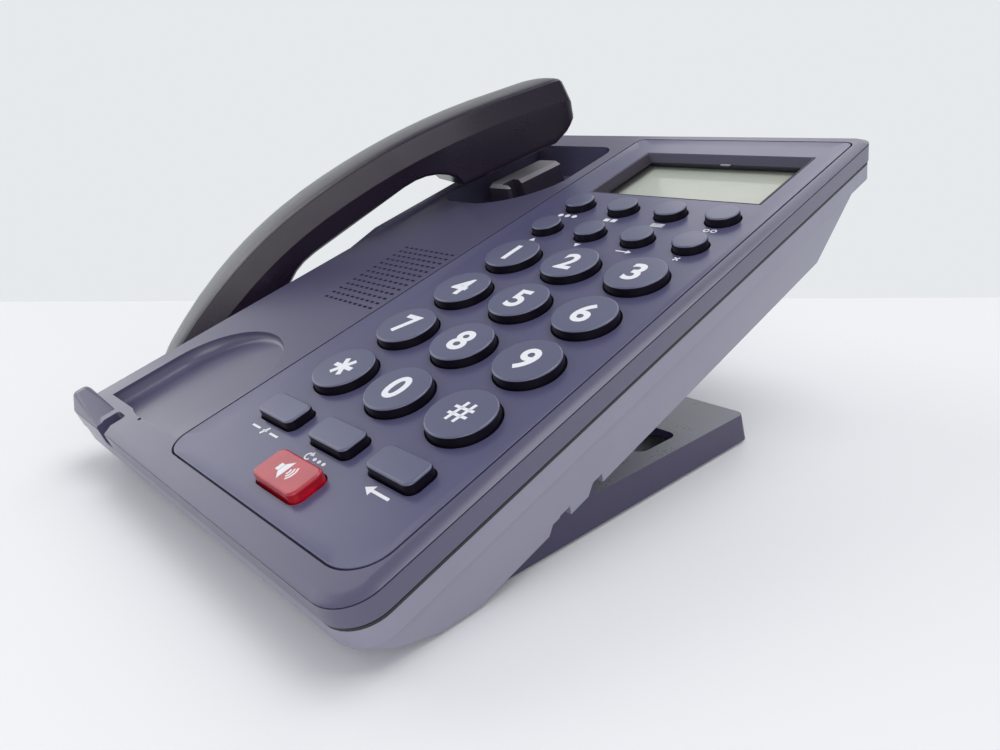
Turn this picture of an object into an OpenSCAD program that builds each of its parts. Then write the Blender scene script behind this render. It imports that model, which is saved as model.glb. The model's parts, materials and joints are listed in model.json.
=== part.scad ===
// Corded desk telephone: sloping base with push keys, display and hook, on a
// clip-on wedge stand, with its handset laid aside against the left edge.
// Millimetres. Desk at z = 0, front towards -Y, origin under the front foot.

/* [Case] */
// Width of the base
case_w = 139.4; // [138:0.2:143]
// Length of the base from front to rear
case_l = 218; // [217:0.5:221]
// Height of the deck over the bottom plane
deck_h = 27.5; // [27.3:0.1:28]
// Height of the parting line over the bottom plane
parting_h = 20.9; // [20.4:0.1:21.4]
// Thickness of the moulded walls
wall = 2.2; // [1.8:0.1:2.4]
// Angle between deck and desk
tilt = 19.5; // [18:0.1:20]

/* [Keys] */
// Diameter of a digit key
digit_d = 17.2; // [16:0.1:17.6]
// Digit key spacing across
digit_pitch_x = 22.4; // [22:0.1:22.6]
// Digit key spacing along
digit_pitch_y = 21.8; // [21.4:0.1:22]
// Diameter of a small round key
round_d = 9.8; // [9:0.1:10.4]
// Height of the keys over the deck
key_rise = 2.1; // [1.8:0.1:3]
// Travel of every key
key_travel = 1.5; // [1:0.1:1.5]

/* [Display] */
// Width of the display recess at the deck
display_w = 61.8; // [60:0.2:62]
// Length of the display recess at the deck
display_l = 34.8; // [33:0.2:35]

/* [Hook] */
// Travel of the hook lever
hook_travel = 4; // [3:0.1:4]

/* [Stand] */
// Width of the stand
stand_w = 128; // [120:1:130]
// Height of the stand's plate over the desk
stand_h = 10.5; // [9.5:0.1:11]

/* [Handset] */
// Half of the handset's length
hand_half = 89.6; // [89:0.1:90]
// Height of the back over the cup edges
back_h = 35.4; // [35:0.1:36]
// Half width of the grip at its parting line
grip_half_w = 21.5; // [20:0.1:22]
// Half width of both cups at their parting line
cup_half_w = 23.5; // [23:0.1:24]
// Turn of the handset about the vertical
hand_yaw = 26; // [25.5:0.1:26.5]
// Rise of the handset from mouth to ear
hand_pitch = 33; // [32.8:0.1:33.2]

/* [Hidden] */
$fn = 48;
thin = 0.01;

// Colours of the mouldings
plum_grey = [0.30, 0.28, 0.35];
pale_plum = [0.50, 0.49, 0.57];
key_grey = [0.36, 0.37, 0.45];
near_black = [0.10, 0.09, 0.12];
hand_plum = [0.22, 0.18, 0.25];
signal_red = [0.72, 0.12, 0.18];
board_green = [0.10, 0.32, 0.20];
steel = [0.70, 0.70, 0.72];

// Case corners: side, end and radius
corners = [[-1, 0, 2.5], [1, 0, 9], [1, 1, 5], [-1, 1, 5]];
bevel_in = 2.6;
bevel_drop = 1.2;
shadow_w = 0.35;
deck_under = 24;
panel_seat = 26;

// Where the bottom plane meets the desk, and the foot set under the front
contact_y = 24.2;
foot_proud = 1;
foot_inlay = 0.8;
foot_size = [100, 7];
foot_y = 20;

// Lower tub
flange_z = 14.8;
flange_in = 0.3;
part_gap = 0.5;
tongue = [wall + 0.15, wall + 1.2, parting_h + 1.2];
tub_in_top = 1.3;
tub_in_low = 2.9;
slope_top = 15.5;
facet_y = 16.5;
rear_low_y = 182.6;
rear_high_y = 205.7;
facet_rise = foot_proud / cos(tilt);
facet_z = (contact_y - facet_y) * tan(tilt) + facet_rise;
floor_y = contact_y + facet_rise / tan(tilt);
tub_side = [
    [flange_in, parting_h + 10], [flange_in, slope_top], [facet_y, facet_z], [floor_y, 0],
    [rear_low_y, 0], [rear_high_y, flange_z - 0.6], [case_l + 4, flange_z - 0.6],
    [case_l + 4, parting_h + 10]];

// Faceplate inlay: left, front, right and rear edges
panel_box = [-15.1, 6.6, 65.9, 211.8];
panel_r = [6, 9, 3, 3];
panel_groove = 0.5;

// Dish of the faceplate: width of its slope at each edge, and depth
panel_ramp = [4.6, 4, 2.4, 4];
panel_lip = 0.3;
panel_flat = deck_h - 0.5;

// Key layout on the deck
pad_x = 27.5;
pad_y = 81.7;
round_x = 27.4;
round_y = 143.8;
round_pitch_x = 17.4;
round_pitch_y = 17.5;
pill_size = [15.2, 7.8, 2.2];
pill_xs = [5, 27.7, 50.1];
pill_y = 30.6;
bar_size = [17, 9.2, 2.4];
bar_at = [28.1, 16.8];
key_gap = 0.4;
key_lip = 1.3;
key_lip_h = 1.3;
key_edge = 0.8;
lip_top = deck_under - 0.2;
key_top = deck_h + key_rise;
digit_names = ["1", "2", "3", "4", "5", "6", "7", "8", "9", "star", "0", "hash"];
pill_names = ["flash", "redial", "back"];

// Each key: node name, plan and place
KEYS = concat(
    [for (i = [0:11]) [str("key_", digit_names[i]), "digit",
        pad_x + (i % 3 - 1) * digit_pitch_x, pad_y + (1.5 - floor(i / 3)) * digit_pitch_y]],
    [for (i = [0:7]) [str("round_key_", i + 1), "round",
        round_x + (i % 4 - 1.5) * round_pitch_x, round_y + (0.5 - floor(i / 4)) * round_pitch_y]],
    [for (i = [0:2]) [str(pill_names[i], "_key"), "pill", pill_xs[i], pill_y]],
    [["speaker_key", "bar", bar_at[0], bar_at[1]]]);

// Board stack under the keys
board_z = 15;
board_t = 1.6;
mat_t = 1.2;
board_top = board_z + board_t;
mat_top = board_top + mat_t;
dome_h = lip_top - key_lip_h - key_travel - 0.2 - mat_top;
dome_d = 7;
board_box = [-10, 9, 59.6, 160];
board_posts = [[-6.2, 14], [-6.2, 103.5], [-6.2, 144], [46, 14]];
lamp_at = [34.2, 16.8];
mat_box = [-3.5, 24, 58.5, 157.5];
mat_lobe = [17, 10.5, 39, 24.5];

// Display stack
display_at = [27.5, 182.1];
bezel_wall = 0.5;
bezel_flange = 3;
bezel_foot_z = 23.3;
funnel_in = 2;
glass_size = [62, 35];
window_t = 1;
glass_t = 2;

// Handset cradle: recess for the ear cup and pocket for the mouth cup
ear_box = [-64.4, 146.5, -20.6, 203.5];
ear_r = 7;
ear_turn = [-51.5, 177, 31.5];
ear_floor = 16.8;
ear_wall = 1.4;
ear_run = [9.5, 5];
ear_side = [[ear_box[1], deck_h + 6], [ear_box[1], deck_h], [ear_box[1] + ear_run[0], ear_floor],
    [ear_box[3] - ear_run[1], ear_floor], [ear_box[3], deck_h], [ear_box[3], deck_h + 6]];
pocket_box = [-60.4, 9.8, -16.6];
pocket_r = (pocket_box[2] - pocket_box[0]) / 2;
pocket_deep = 4.5;
pocket_y = 30.8;
pad_z = 20.6;

// Rim along the left edge, and the horn that the front left corner runs up to
rim_rise = 1;
rim_y = [104, 118, 213];
horn_size = [25.7, 6.8];
horn_tip = [4, 2.2];
horn_rise = 2.7;

// Slot in the front edge, and the hands-free microphone's hole
slot_box = [-48, -1, -42.7, 7];
mic_at = [-36.6, 8.6];
mic_d = 1.4;

// Loudspeaker and its slots: rows along the case, slots across it
speaker_at = [-30.3, 92.8];
speaker_d = 40;
grille_rows = 10;
grille_cols = 13;
grille_pitch = [2.6, 2.9];
grille_slot = [1.7, 1];

// Hook lever and its switch
hook_at = [-45.7, 176.5];
hook_size = [12.6, 32];
hook_top = 27.4;
hook_slope = 4;
hook_notch = [4.6, 6];
hook_lip = 2;
hook_lip_l = 24;
hook_lip_h = 1.4;
hook_lip_top = ear_floor - ear_wall - 0.1;

// Screws that hold the case, from below
posts = [[-20, 36], [62.6, 37], [62.6, 157.5], [-58, 72], [-59.4, 168]];
post_z = 10;
post_r = 2.8;
boss_r = 4.6;
seat_z = 4.8;
screw_d = 2.9;
screw_head = [5.8, 2.2];

// Sockets
line_x = 27;
line_hole = [10.2, 7.2];
line_bay = [18, 186, 210];
line_floor = 3.6;
cord_y = 89.5;
cord_hole = [8.2, 7];
cord_z = 8.2;

// Stand on the desk, measured from the origin
stand_front = 8;
stand_rear = 124;
stand_rake = 4.5;
stand_wall = 2.4;
bottom_y = contact_y * cos(tilt) - foot_y;
stand_feet_at = [52, 110];
stand_window = [28, 73, 58.5, 91];
clip_ys = [[49.5, 57.2], [63.8, 69.3]];
clip_x = 59;
clip_gap = 0.4;
clip_reach = [-6, 1.9];
clip_lean = [1, 1.4];
clip_slit = [3.6, 0.8];

// Handset form
hand_at = [-77.9, 90.3, 45.6];
crown_y = -8;
ear_arc = 285;
mouth_arc = 176;
skirt_h = 8.2;
arch_half = 20;
arch_h = 19.5;
cup_in = 39;
cup_lip = 7.5;
cup_low = 77;
end_z = 4;
ear_corner = [86.5, 2.5];
mouth_corner = [84, 5];
end_soft = 0.9;
ear_lean = 0.15;
lean_z = 12;
back_in = 2;
under_in = 2.4;
crown = 1.2;
stations_half = [0, 10, 20, 25, 29, 33, 36, 38, 39, 46, 55, 66, 77, 84, 86.5, 88.4, hand_half];
stations = concat([for (i = [len(stations_half) - 1:-1:1]) -stations_half[i]], stations_half);
face_angle = atan(cup_lip / (cup_low - cup_in));
capsule_y = 57;
face_wall = 2;

// Frames

// Puts what is built on the case's bottom plane onto the desk
module on_desk() {
    translate([0, -foot_y, -contact_y * sin(tilt)]) rotate([tilt, 0, 0]) children();
}

// Puts what is built along the handset where it lies
module laid_aside() {
    translate(hand_at) rotate([0, 0, -hand_yaw]) rotate([hand_pitch, 0, 0]) children();
}

// Puts what is built on an ear-side cup face onto that face; side -1 is the mouth
module on_cup_face(side) {
    translate([0, side * capsule_y, cup_lip - (capsule_y - cup_in) * tan(face_angle)])
        rotate([-side * face_angle, 0, 0]) children();
}

// Shared shapes

// Outline of a closed path moved inwards, or outwards for a negative distance
function edge_normal(p, q) = [p[1] - q[1], q[0] - p[0]] / norm(q - p);
function moved_corner(n1, n2, distance) = distance * (n1 + n2) / (1 + n1 * n2);
function inset_path(path, distance) = let (last = len(path) - 1) [for (i = [0:last])
    path[i] + moved_corner(edge_normal(path[(i + last) % len(path)], path[i]),
        edge_normal(path[i], path[(i + 1) % len(path)]), distance)];

// Rectangle from low to high corner with its own radius at each corner
module rounded_box(low, high, radii) {
    spots = [[low[0], low[1], 1, 1], [high[0], low[1], -1, 1], [high[0], high[1], -1, -1],
        [low[0], high[1], 1, -1]];
    difference() {
        translate(low) square(high - low);
        for (i = [0:3]) translate([spots[i][0], spots[i][1]]) square(2 * radii[i], center = true);
    }
    for (i = [0:3])
        translate([spots[i][0] + spots[i][2] * radii[i], spots[i][1] + spots[i][3] * radii[i]])
            circle(radii[i]);
}

// Rectangle round a middle point, all corners alike
module rounded_plate(size, r) {
    rounded_box(-size / 2, size / 2, [r, r, r, r]);
}

// Outline of the case, moved in from the wall
module outline(inset) {
    rounded_box([-case_w / 2 + inset, inset], [case_w / 2 - inset, case_l - inset],
        [for (c = corners) max(c[2] - inset, 1)]);
}

// Solid across the whole case from an outline seen from its right side
module across(path, width) {
    rotate([90, 0, 90]) linear_extrude(width, center = true) polygon(path);
}

// Plan of a key, grown all round
module key_plan(kind, grow) {
    if (kind == "digit") circle(d = digit_d + 2 * grow);
    if (kind == "round") circle(d = round_d + 2 * grow);
    if (kind == "pill") rounded_plate([pill_size[0], pill_size[1]] + 2 * [grow, grow], pill_size[2] + grow);
    if (kind == "bar") rounded_plate([bar_size[0], bar_size[1]] + 2 * [grow, grow], bar_size[2] + grow);
}

// All key holes
module key_holes(grow) {
    for (k = KEYS) translate([k[2], k[3]]) key_plan(k[1], grow);
}

// Faceplate outline, grown all round
module panel_plan(grow) {
    rounded_box([panel_box[0] - grow, panel_box[1] - grow], [panel_box[2] + grow, panel_box[3] + grow],
        [for (r = panel_r) r + grow]);
}

// Hollow of the faceplate's dish, from its lip down to its flat
module panel_dish() {
    low = [panel_box[0] + panel_ramp[0], panel_box[1] + panel_ramp[1]];
    high = [panel_box[2] - panel_ramp[2], panel_box[3] - panel_ramp[3]];
    hull() {
        translate([0, 0, deck_h]) linear_extrude(thin) panel_plan(-panel_lip, $fn = 32);
        translate([0, 0, panel_flat]) linear_extrude(thin) rounded_box(low, high, panel_r, $fn = 32);
    }
}

// Ear recess seen from above, grown all round
module ear_plan(grow) {
    r = ear_r + grow;
    turn = [ear_turn[0], ear_turn[1]];
    difference() {
        rounded_box([ear_box[0] - grow, ear_box[1] - grow], [ear_box[2] + grow, ear_box[3] + grow],
            [r, r, r, r]);
        difference() {
            translate(turn - [0, 2 * ear_turn[2]]) square(2 * ear_turn[2]);
            translate(turn) circle(ear_turn[2] + grow);
        }
    }
}

// Mouth pocket seen from above, grown all round
module pocket_plan(grow) {
    translate([pocket_box[0] - grow, pocket_box[1] - grow])
        square([pocket_box[2] - pocket_box[0] + 2 * grow, pocket_y - pocket_box[1] + grow]);
    translate([pocket_box[0] + pocket_r, pocket_y]) circle(pocket_r + grow);
}

// Sound slots over the loudspeaker
module grille_plan() {
    for (i = [0:grille_rows - 1], j = [0:grille_cols - 1])
        translate(speaker_at + [(i - (grille_rows - 1) / 2) * grille_pitch[0],
            (j - (grille_cols - 1) / 2) * grille_pitch[1]])
            square(grille_slot, center = true);
}

// Base mouldings

// Top slab of the case with its sloping edge
module bevelled_top() {
    hull() {
        translate([0, 0, panel_seat]) linear_extrude(deck_h - bevel_drop - panel_seat) outline(0, $fn = 32);
        translate([0, 0, deck_h - thin]) linear_extrude(thin) outline(bevel_in, $fn = 32);
    }
}

// Space of the ear recess, or the tub round it when grown
module ear_space(grow) {
    intersection() {
        translate([0, 0, ear_floor - grow - 1]) linear_extrude(deck_h - ear_floor + 8) ear_plan(grow);
        across(inset_path(ear_side, -grow), 2 * case_w);
    }
}

// Space of the mouth pocket: deep at the left, running out at the right
module mouth_space() {
    run = pocket_box[2] - pocket_box[0];
    intersection() {
        translate([0, 0, deck_h - 2 * pocket_deep]) linear_extrude(4 * pocket_deep) pocket_plan(0);
        translate([pocket_box[2], 0, deck_h]) rotate([0, -atan(pocket_deep / run), 0])
            translate([-2 * run, 0, 0]) cube([2 * run, case_l / 2, 4 * pocket_deep]);
    }
}

module upper_shell() {
    color(plum_grey) on_desk() difference() {
        union() {
            translate([0, 0, parting_h]) linear_extrude(deck_under - parting_h) difference() {
                outline(0);
                outline(wall);
            }
            translate([0, 0, deck_under]) linear_extrude(panel_seat - deck_under) difference() {
                outline(0);
                key_holes(key_gap);
                bezel_plan(bezel_wall + 0.2);
                grille_plan();
            }
            difference() {
                bevelled_top();
                translate([0, 0, panel_seat - 1]) linear_extrude(bevel_in + 2) {
                    panel_plan(panel_groove);
                    grille_plan();
                }
            }
            intersection() {
                ear_space(ear_wall);
                translate([0, 0, deck_under / 2 + 0.1])
                    cube([2 * case_w, 2 * case_l, deck_under], center = true);
            }
            translate([0, 0, pad_z]) linear_extrude(deck_under - pad_z) pocket_plan(wall);
            translate([-case_w / 2, 0, 0]) rotate([90, 0, 90]) linear_extrude(bevel_in)
                polygon([[rim_y[0], panel_seat], [rim_y[2], panel_seat], [rim_y[2], deck_h + rim_rise],
                    [rim_y[1], deck_h + rim_rise], [rim_y[0], deck_h - bevel_drop]]);
            corner_horn();
            for (p = posts) translate([p[0], p[1], post_z]) cylinder(r = post_r, h = post_top(p) - post_z);
            for (p = board_posts) translate([p[0], p[1], board_top])
                cylinder(d = 5, h = deck_under - board_top);
            translate([mic_at[0], mic_at[1], pad_z - 3]) cylinder(d = 9.4, h = deck_under - pad_z + 3);
        }
        ear_space(0);
        mouth_space();
        translate([hook_at[0], hook_at[1], ear_floor - 2 * wall]) linear_extrude(3 * wall)
            rounded_plate(hook_size + [0.8, 0.8], 2.4);
        translate([0, 0, deck_under - 2.6]) linear_extrude(10)
            rounded_box([slot_box[0], slot_box[1]], [slot_box[2], slot_box[3]], [0.4, 0.4, 1.2, 1.2]);
        translate([mic_at[0], mic_at[1], pad_z - 4]) {
            cylinder(d = 6.1, h = 4);
            cylinder(d = mic_d, h = 20);
        }
        translate([0, 0, deck_h - bevel_drop - shadow_w]) linear_extrude(shadow_w) difference() {
            outline(-1);
            outline(shadow_w);
        }
        for (p = posts) translate([p[0], p[1], post_z - 1]) cylinder(d = screw_d + 0.1, h = 5);
        for (p = board_posts) translate([p[0], p[1], board_top - 1]) cylinder(d = 2.5, h = 6);
    }
}

// A screw post reaches the deck, or the tub of the ear recess where it stands under it
function post_top(p) = p[0] < ear_box[2] && p[1] > ear_box[1] ? ear_floor - 1 : deck_under + 0.5;

// Front left corner, sloping up to a horn at the left edge
module corner_horn() {
    low = [-case_w / 2, 0];
    hull() {
        translate([0, 0, panel_seat]) linear_extrude(deck_h - bevel_drop - panel_seat)
            rounded_box(low, low + horn_size, [corners[0][2], 1, 1, 1], $fn = 32);
        translate([0, 0, deck_h + horn_rise - thin]) linear_extrude(thin)
            rounded_box(low + [1, horn_tip[1]], low + [horn_tip[0], horn_size[1] - 0.4],
                [1.4, 0.4, 0.4, 0.4], $fn = 32);
    }
}

// Tub form, moved in from the outside
module tub_form(inset) {
    intersection() {
        union() {
            hull() {
                linear_extrude(thin) outline(tub_in_low + inset, $fn = 32);
                translate([0, 0, flange_z]) linear_extrude(thin) outline(tub_in_top + inset, $fn = 32);
            }
            translate([0, 0, flange_z]) linear_extrude(parting_h - part_gap - flange_z + inset)
                outline(flange_in + inset);
        }
        across(inset_path(tub_side, inset), 2 * case_w);
    }
}

// Walled bay in the tub's rear for the line plug
module line_bay_space(grow) {
    translate([line_bay[0] - grow, line_bay[1] - grow, -1])
        cube([2 * (line_x - line_bay[0] + grow), line_bay[2] - line_bay[1] + grow, flange_z + grow]);
}

// Tongue of the lower shell that stands inside the upper one
module locating_tongue() {
    translate([0, 0, flange_z]) linear_extrude(tongue[2] - flange_z) difference() {
        outline(tongue[0]);
        outline(tongue[1]);
    }
}

// Outline of a stand clip from its right side
function clip_side(y) = [[y[0] - clip_lean[0], clip_reach[0]], [y[1] - clip_gap, clip_reach[0]],
    [y[1] - clip_gap, clip_reach[1]], [y[0] + clip_gap + clip_lean[1], clip_reach[1]], [y[0] + clip_gap, 0]];

module lower_shell() {
    color(pale_plum) difference() {
        on_desk() difference() {
            union() {
                difference() {
                    tub_form(0);
                    tub_form(wall);
                }
                locating_tongue();
                intersection() {
                    line_bay_space(wall);
                    tub_form(0);
                }
                intersection() {
                    for (p = posts) translate([p[0], p[1], wall / 2])
                        cylinder(r = boss_r, h = post_z - wall / 2);
                    tub_form(0);
                }
            }
            line_bay_space(0);
            for (p = posts) translate([p[0], p[1], -1]) {
                cylinder(d = screw_head[0] + 0.6, h = seat_z + 1);
                cylinder(d = screw_d + 0.4, h = post_z + 2);
            }
            translate([line_x - line_hole[0] / 2, line_bay[1] - 2 * wall, line_floor + 1.5])
                cube([line_hole[0], 3 * wall, line_hole[1]]);
            translate([-case_w / 2 - 1, cord_y - cord_hole[0] / 2, cord_z - cord_hole[1] / 2])
                cube([4 * wall, cord_hole[0], cord_hole[1]]);
            for (side = [0, 1], y = clip_ys) mirror([side, 0, 0]) translate([clip_x, 0, 0])
                rotate([90, 0, 90]) linear_extrude(10) {
                    polygon(inset_path(clip_side(y), -clip_gap));
                    translate([y[1] - clip_slit[0], clip_reach[1]]) square(clip_slit);
                }
        }
        front_foot_form(0.1);
    }
}

module key_panel() {
    color(plum_grey) on_desk() difference() {
        translate([0, 0, panel_seat]) linear_extrude(deck_h - panel_seat) difference() {
            panel_plan(0);
            key_holes(key_gap);
            bezel_plan(bezel_wall + 0.15);
        }
        panel_dish();
    }
}

// Keys

// Solid of one key: cap with an eased edge, and the lip that holds it under the deck
module key_body(kind) {
    translate([0, 0, lip_top - key_lip_h]) linear_extrude(key_lip_h) key_plan(kind, key_lip);
    if (kind == "digit" || kind == "round") {
        r = (kind == "digit" ? digit_d : round_d) / 2;
        rotate_extrude() {
            translate([0, lip_top - thin]) square([r, key_top - key_edge - lip_top + thin]);
            translate([0, lip_top]) square([r - key_edge, key_top - lip_top]);
            translate([r - key_edge, key_top - key_edge]) circle(key_edge);
        }
    } else {
        hull() {
            translate([0, 0, lip_top - thin]) linear_extrude(key_top - key_edge - lip_top)
                key_plan(kind, 0, $fn = 32);
            translate([0, 0, key_top - 0.3 * key_edge]) linear_extrude(thin)
                key_plan(kind, -0.3 * key_edge, $fn = 32);
            translate([0, 0, key_top - thin]) linear_extrude(thin) key_plan(kind, -key_edge, $fn = 32);
        }
    }
}

module key(k) {
    color(k[1] == "bar" ? signal_red : key_grey) on_desk() translate([k[2], k[3], 0]) key_body(k[1]);
}

// Board stack

module mat_plan() {
    for (b = [mat_box, mat_lobe]) translate([b[0], b[1]]) square([b[2] - b[0], b[3] - b[1]]);
}

module key_mat() {
    color(near_black) on_desk() difference() {
        union() {
            translate([0, 0, board_top]) linear_extrude(mat_t) mat_plan();
            for (k = KEYS) translate([k[2], k[3], mat_top])
                cylinder(d1 = dome_d, d2 = dome_d / 2, h = dome_h);
        }
        translate([lamp_at[0], lamp_at[1], board_top - 1]) cylinder(d = 3.6, h = mat_t + 5);
    }
}

module main_board() {
    color(board_green) on_desk() translate([0, 0, board_z]) linear_extrude(board_t) difference() {
        translate([board_box[0], board_box[1]])
            square([board_box[2] - board_box[0], board_box[3] - board_box[1]]);
        for (p = board_posts) translate(p) circle(d = 2.8);
    }
}

module speaker_lamp() {
    color(signal_red) on_desk() translate([lamp_at[0], lamp_at[1], board_top]) {
        cylinder(d = 3.2, h = 1);
        cylinder(d = 2.9, h = 2.4);
    }
}

// Display

// Plan of the display recess at the faceplate, grown all round
module bezel_plan(grow) {
    translate(display_at) square([display_w, display_l] + 2 * [grow, grow], center = true);
}

module display_bezel() {
    color(plum_grey) on_desk() difference() {
        translate([0, 0, bezel_foot_z]) {
            linear_extrude(panel_flat - bezel_foot_z) bezel_plan(bezel_wall);
            linear_extrude(deck_under - bezel_foot_z) bezel_plan(bezel_flange);
        }
        hull() {
            translate([0, 0, panel_flat]) linear_extrude(thin) bezel_plan(0);
            translate([0, 0, bezel_foot_z - thin]) linear_extrude(thin) bezel_plan(-funnel_in);
        }
    }
}

module display_plate(top, thickness) {
    on_desk() translate([display_at[0], display_at[1], top - thickness]) linear_extrude(thickness)
        rounded_plate(glass_size, 1);
}

module display_window() {
    color([0.85, 0.9, 0.88, 0.4]) display_plate(bezel_foot_z, window_t);
}

module display_glass() {
    color([0.70, 0.74, 0.68]) display_plate(bezel_foot_z - window_t, glass_t);
}

// Sound and hook

module loudspeaker() {
    frame = speaker_d / 2;
    color(near_black) on_desk() translate([speaker_at[0], speaker_at[1], deck_under]) rotate_extrude()
        polygon([[0, -3.5], [frame * 0.3, -5], [frame * 0.85, -1.6], [frame * 0.85, 0], [frame, 0],
            [frame, -2.4], [frame * 0.55, -9], [frame * 0.55, -14], [0, -14]]);
}

module hands_free_microphone() {
    color(steel) on_desk() translate([mic_at[0], mic_at[1], pad_z - 3]) cylinder(d = 6, h = 3);
}

module hook_lever() {
    color(pale_plum) on_desk() translate([hook_at[0], hook_at[1], 0]) difference() {
        union() {
            translate([0, 0, hook_lip_top - hook_lip_h]) linear_extrude(hook_lip_h)
                rounded_plate([hook_size[0] + 2 * hook_lip, hook_lip_l], 2);
            hull() {
                translate([0, 0, hook_lip_top - 0.1]) linear_extrude(ear_floor - hook_lip_top)
                    rounded_plate(hook_size, 2, $fn = 32);
                translate([0, 0, hook_top]) rotate([-hook_slope, 0, 0]) {
                    translate([0, 0, -1.4]) linear_extrude(thin)
                        rounded_plate(hook_size - [1, 1], 1.6, $fn = 32);
                    linear_extrude(thin) rounded_plate(hook_size - [3.4, 3.4], 1, $fn = 32);
                }
            }
        }
        translate([hook_size[0] / 2 - hook_notch[0], 1.5 - hook_size[1] / 2, ear_floor])
            cube([hook_size[0], hook_notch[1], 2 * hook_top]);
    }
}

module hook_switch() {
    plunger_top = hook_lip_top - hook_lip_h - hook_travel - 0.3;
    color(near_black) on_desk() translate([hook_at[0] - 3.2, hook_at[1] - 17, wall]) {
        cube([6.4, 20, 5.2]);
        translate([2.2, 14, 5.2 - thin]) cube([2, 3, plunger_top - wall - 5.2 + thin]);
    }
}

// Sockets

module line_jack() {
    color(near_black) on_desk() translate([line_x, line_bay[1] - wall, line_floor]) difference() {
        translate([-6.6, -14, 0]) cube([13.2, 14, 10.4]);
        translate([-line_hole[0] / 2 + 0.2, -11, 1.7]) cube([line_hole[0] - 0.4, 12, line_hole[1] - 0.4]);
    }
}

module handset_cord_jack() {
    jack_x = -case_w / 2 + tub_in_low + wall + 0.2;
    color(near_black) on_desk() translate([jack_x, cord_y, cord_z]) difference() {
        translate([0, -5.6, -6]) cube([12, 11.2, 10.6]);
        translate([-1, -cord_hole[0] / 2 + 0.2, -cord_hole[1] / 2 + 0.2])
            cube([10, cord_hole[0] - 0.4, cord_hole[1] - 0.4]);
    }
}

// Feet, stand and screws

module front_foot_form(grow) {
    low = grow > 0 ? foot_proud - 0.5 : 0;
    translate([0, 0, low]) linear_extrude(foot_proud + foot_inlay - low)
        rounded_plate(foot_size + 2 * [grow, grow], foot_size[1] / 2 - 0.2);
}

module front_foot() {
    color(near_black) front_foot_form(0);
}

module stand_feet() {
    color(near_black) for (side = [-1, 1]) translate([side * stand_feet_at[0], stand_feet_at[1], 0])
        cylinder(d = 12, h = foot_proud + foot_inlay);
}

// Outline of the stand from its right side, under the case's bottom plane
function under_case(y) = (y - bottom_y) * tan(tilt);
stand_side = [[stand_front, foot_proud], [stand_rear, foot_proud], [stand_rear - stand_rake, stand_h],
    [bottom_y + stand_h / tan(tilt), stand_h], [stand_front, under_case(stand_front)]];
hollow_front = bottom_y + (foot_proud + stand_wall) / sin(tilt);
hollow_side = [[hollow_front, -1], [stand_rear - stand_wall - 0.4, -1],
    [stand_rear - stand_rake - stand_wall, stand_h - stand_wall],
    [bottom_y + stand_h / tan(tilt), stand_h - stand_wall], [hollow_front, foot_proud]];
stand_bays = 3;

module tilt_stand() {
    bay_w = (stand_w - (stand_bays + 1) * stand_wall) / stand_bays;
    color(plum_grey) difference() {
        union() {
            difference() {
                across(stand_side, stand_w);
                for (b = [0:stand_bays - 1])
                    translate([(b - (stand_bays - 1) / 2) * (bay_w + stand_wall), 0, 0])
                        across(hollow_side, bay_w);
            }
            for (side = [-1, 1]) translate([side * stand_feet_at[0], stand_feet_at[1], foot_proud])
                cylinder(d = 16, h = stand_h - foot_proud - stand_wall / 2);
            on_desk() for (side = [0, 1], y = clip_ys) mirror([side, 0, 0])
                translate([clip_x + clip_gap, 0, 0]) rotate([90, 0, 90])
                    linear_extrude(stand_w / 2 - clip_x - clip_gap) polygon(clip_side(y));
        }
        for (side = [0, 1]) mirror([side, 0, 0]) translate([0, 0, stand_h - 2 * stand_wall])
            linear_extrude(4 * stand_wall) rounded_box([stand_window[0], stand_window[1]],
                [stand_window[2], stand_window[3]], [3, 3, 3, 3]);
        for (side = [-1, 1]) translate([side * stand_feet_at[0], stand_feet_at[1], 0])
            cylinder(d = 12.2, h = foot_proud + foot_inlay);
    }
}

// Screw with its head down, tip up
module screw(d, length, head) {
    translate([0, 0, -head[1]]) cylinder(d = head[0], h = head[1]);
    translate([0, 0, -0.1]) cylinder(d = d, h = length + 0.1);
}

module case_screws() {
    color(steel) on_desk() for (p = posts) translate([p[0], p[1], seat_z]) screw(screw_d, 9, screw_head);
}

module board_screws() {
    color(steel) on_desk() for (p = board_posts) translate([p[0], p[1], board_z]) screw(2.4, 6, [4.6, 1.6]);
}

// Handset

// Ease from 0 to 1 between two places
function eased(a, from, to) = let (s = min(max((a - from) / (to - from), 0), 1)) s * s * (3 - 2 * s);
// How far a place near either end is into the rounding of that end, from 0 to about 0.8
function end_turn(y) = let (start = (y > 0 ? ear_corner : mouth_corner)[0],
    past = max(abs(y) - start, 0) / (hand_half - start)) 1 - sqrt(1 - 0.96 * past * past);
function back_z(y) = back_h - pow(y - crown_y, 2) / (2 * (y > crown_y ? ear_arc : mouth_arc))
    - end_soft * end_turn(y);
function seam_z(y) = back_z(y) - skirt_h;
function under_z(y) = let (a = abs(y), t = min(max((a - arch_half) / (cup_in - arch_half), 0), 1))
    a <= cup_in ? cup_lip + (arch_h - cup_lip) * sqrt(1 - t * t)
    : a <= cup_low ? cup_lip * (cup_low - a) / (cup_low - cup_in)
    : end_z * pow((a - cup_low) / (hand_half - cup_low), 2);
function seam_w(y) = grip_half_w
    + (cup_half_w - grip_half_w) * eased(abs(y), arch_half - 2, cup_low - 20)
    - (y > 0 ? ear_corner : mouth_corner)[1] * end_turn(y);

// The ear end leans out towards the back
function leaned(y, z) = y + ear_lean * (z - lean_z) * eased(y, cup_low, hand_half);

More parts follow.
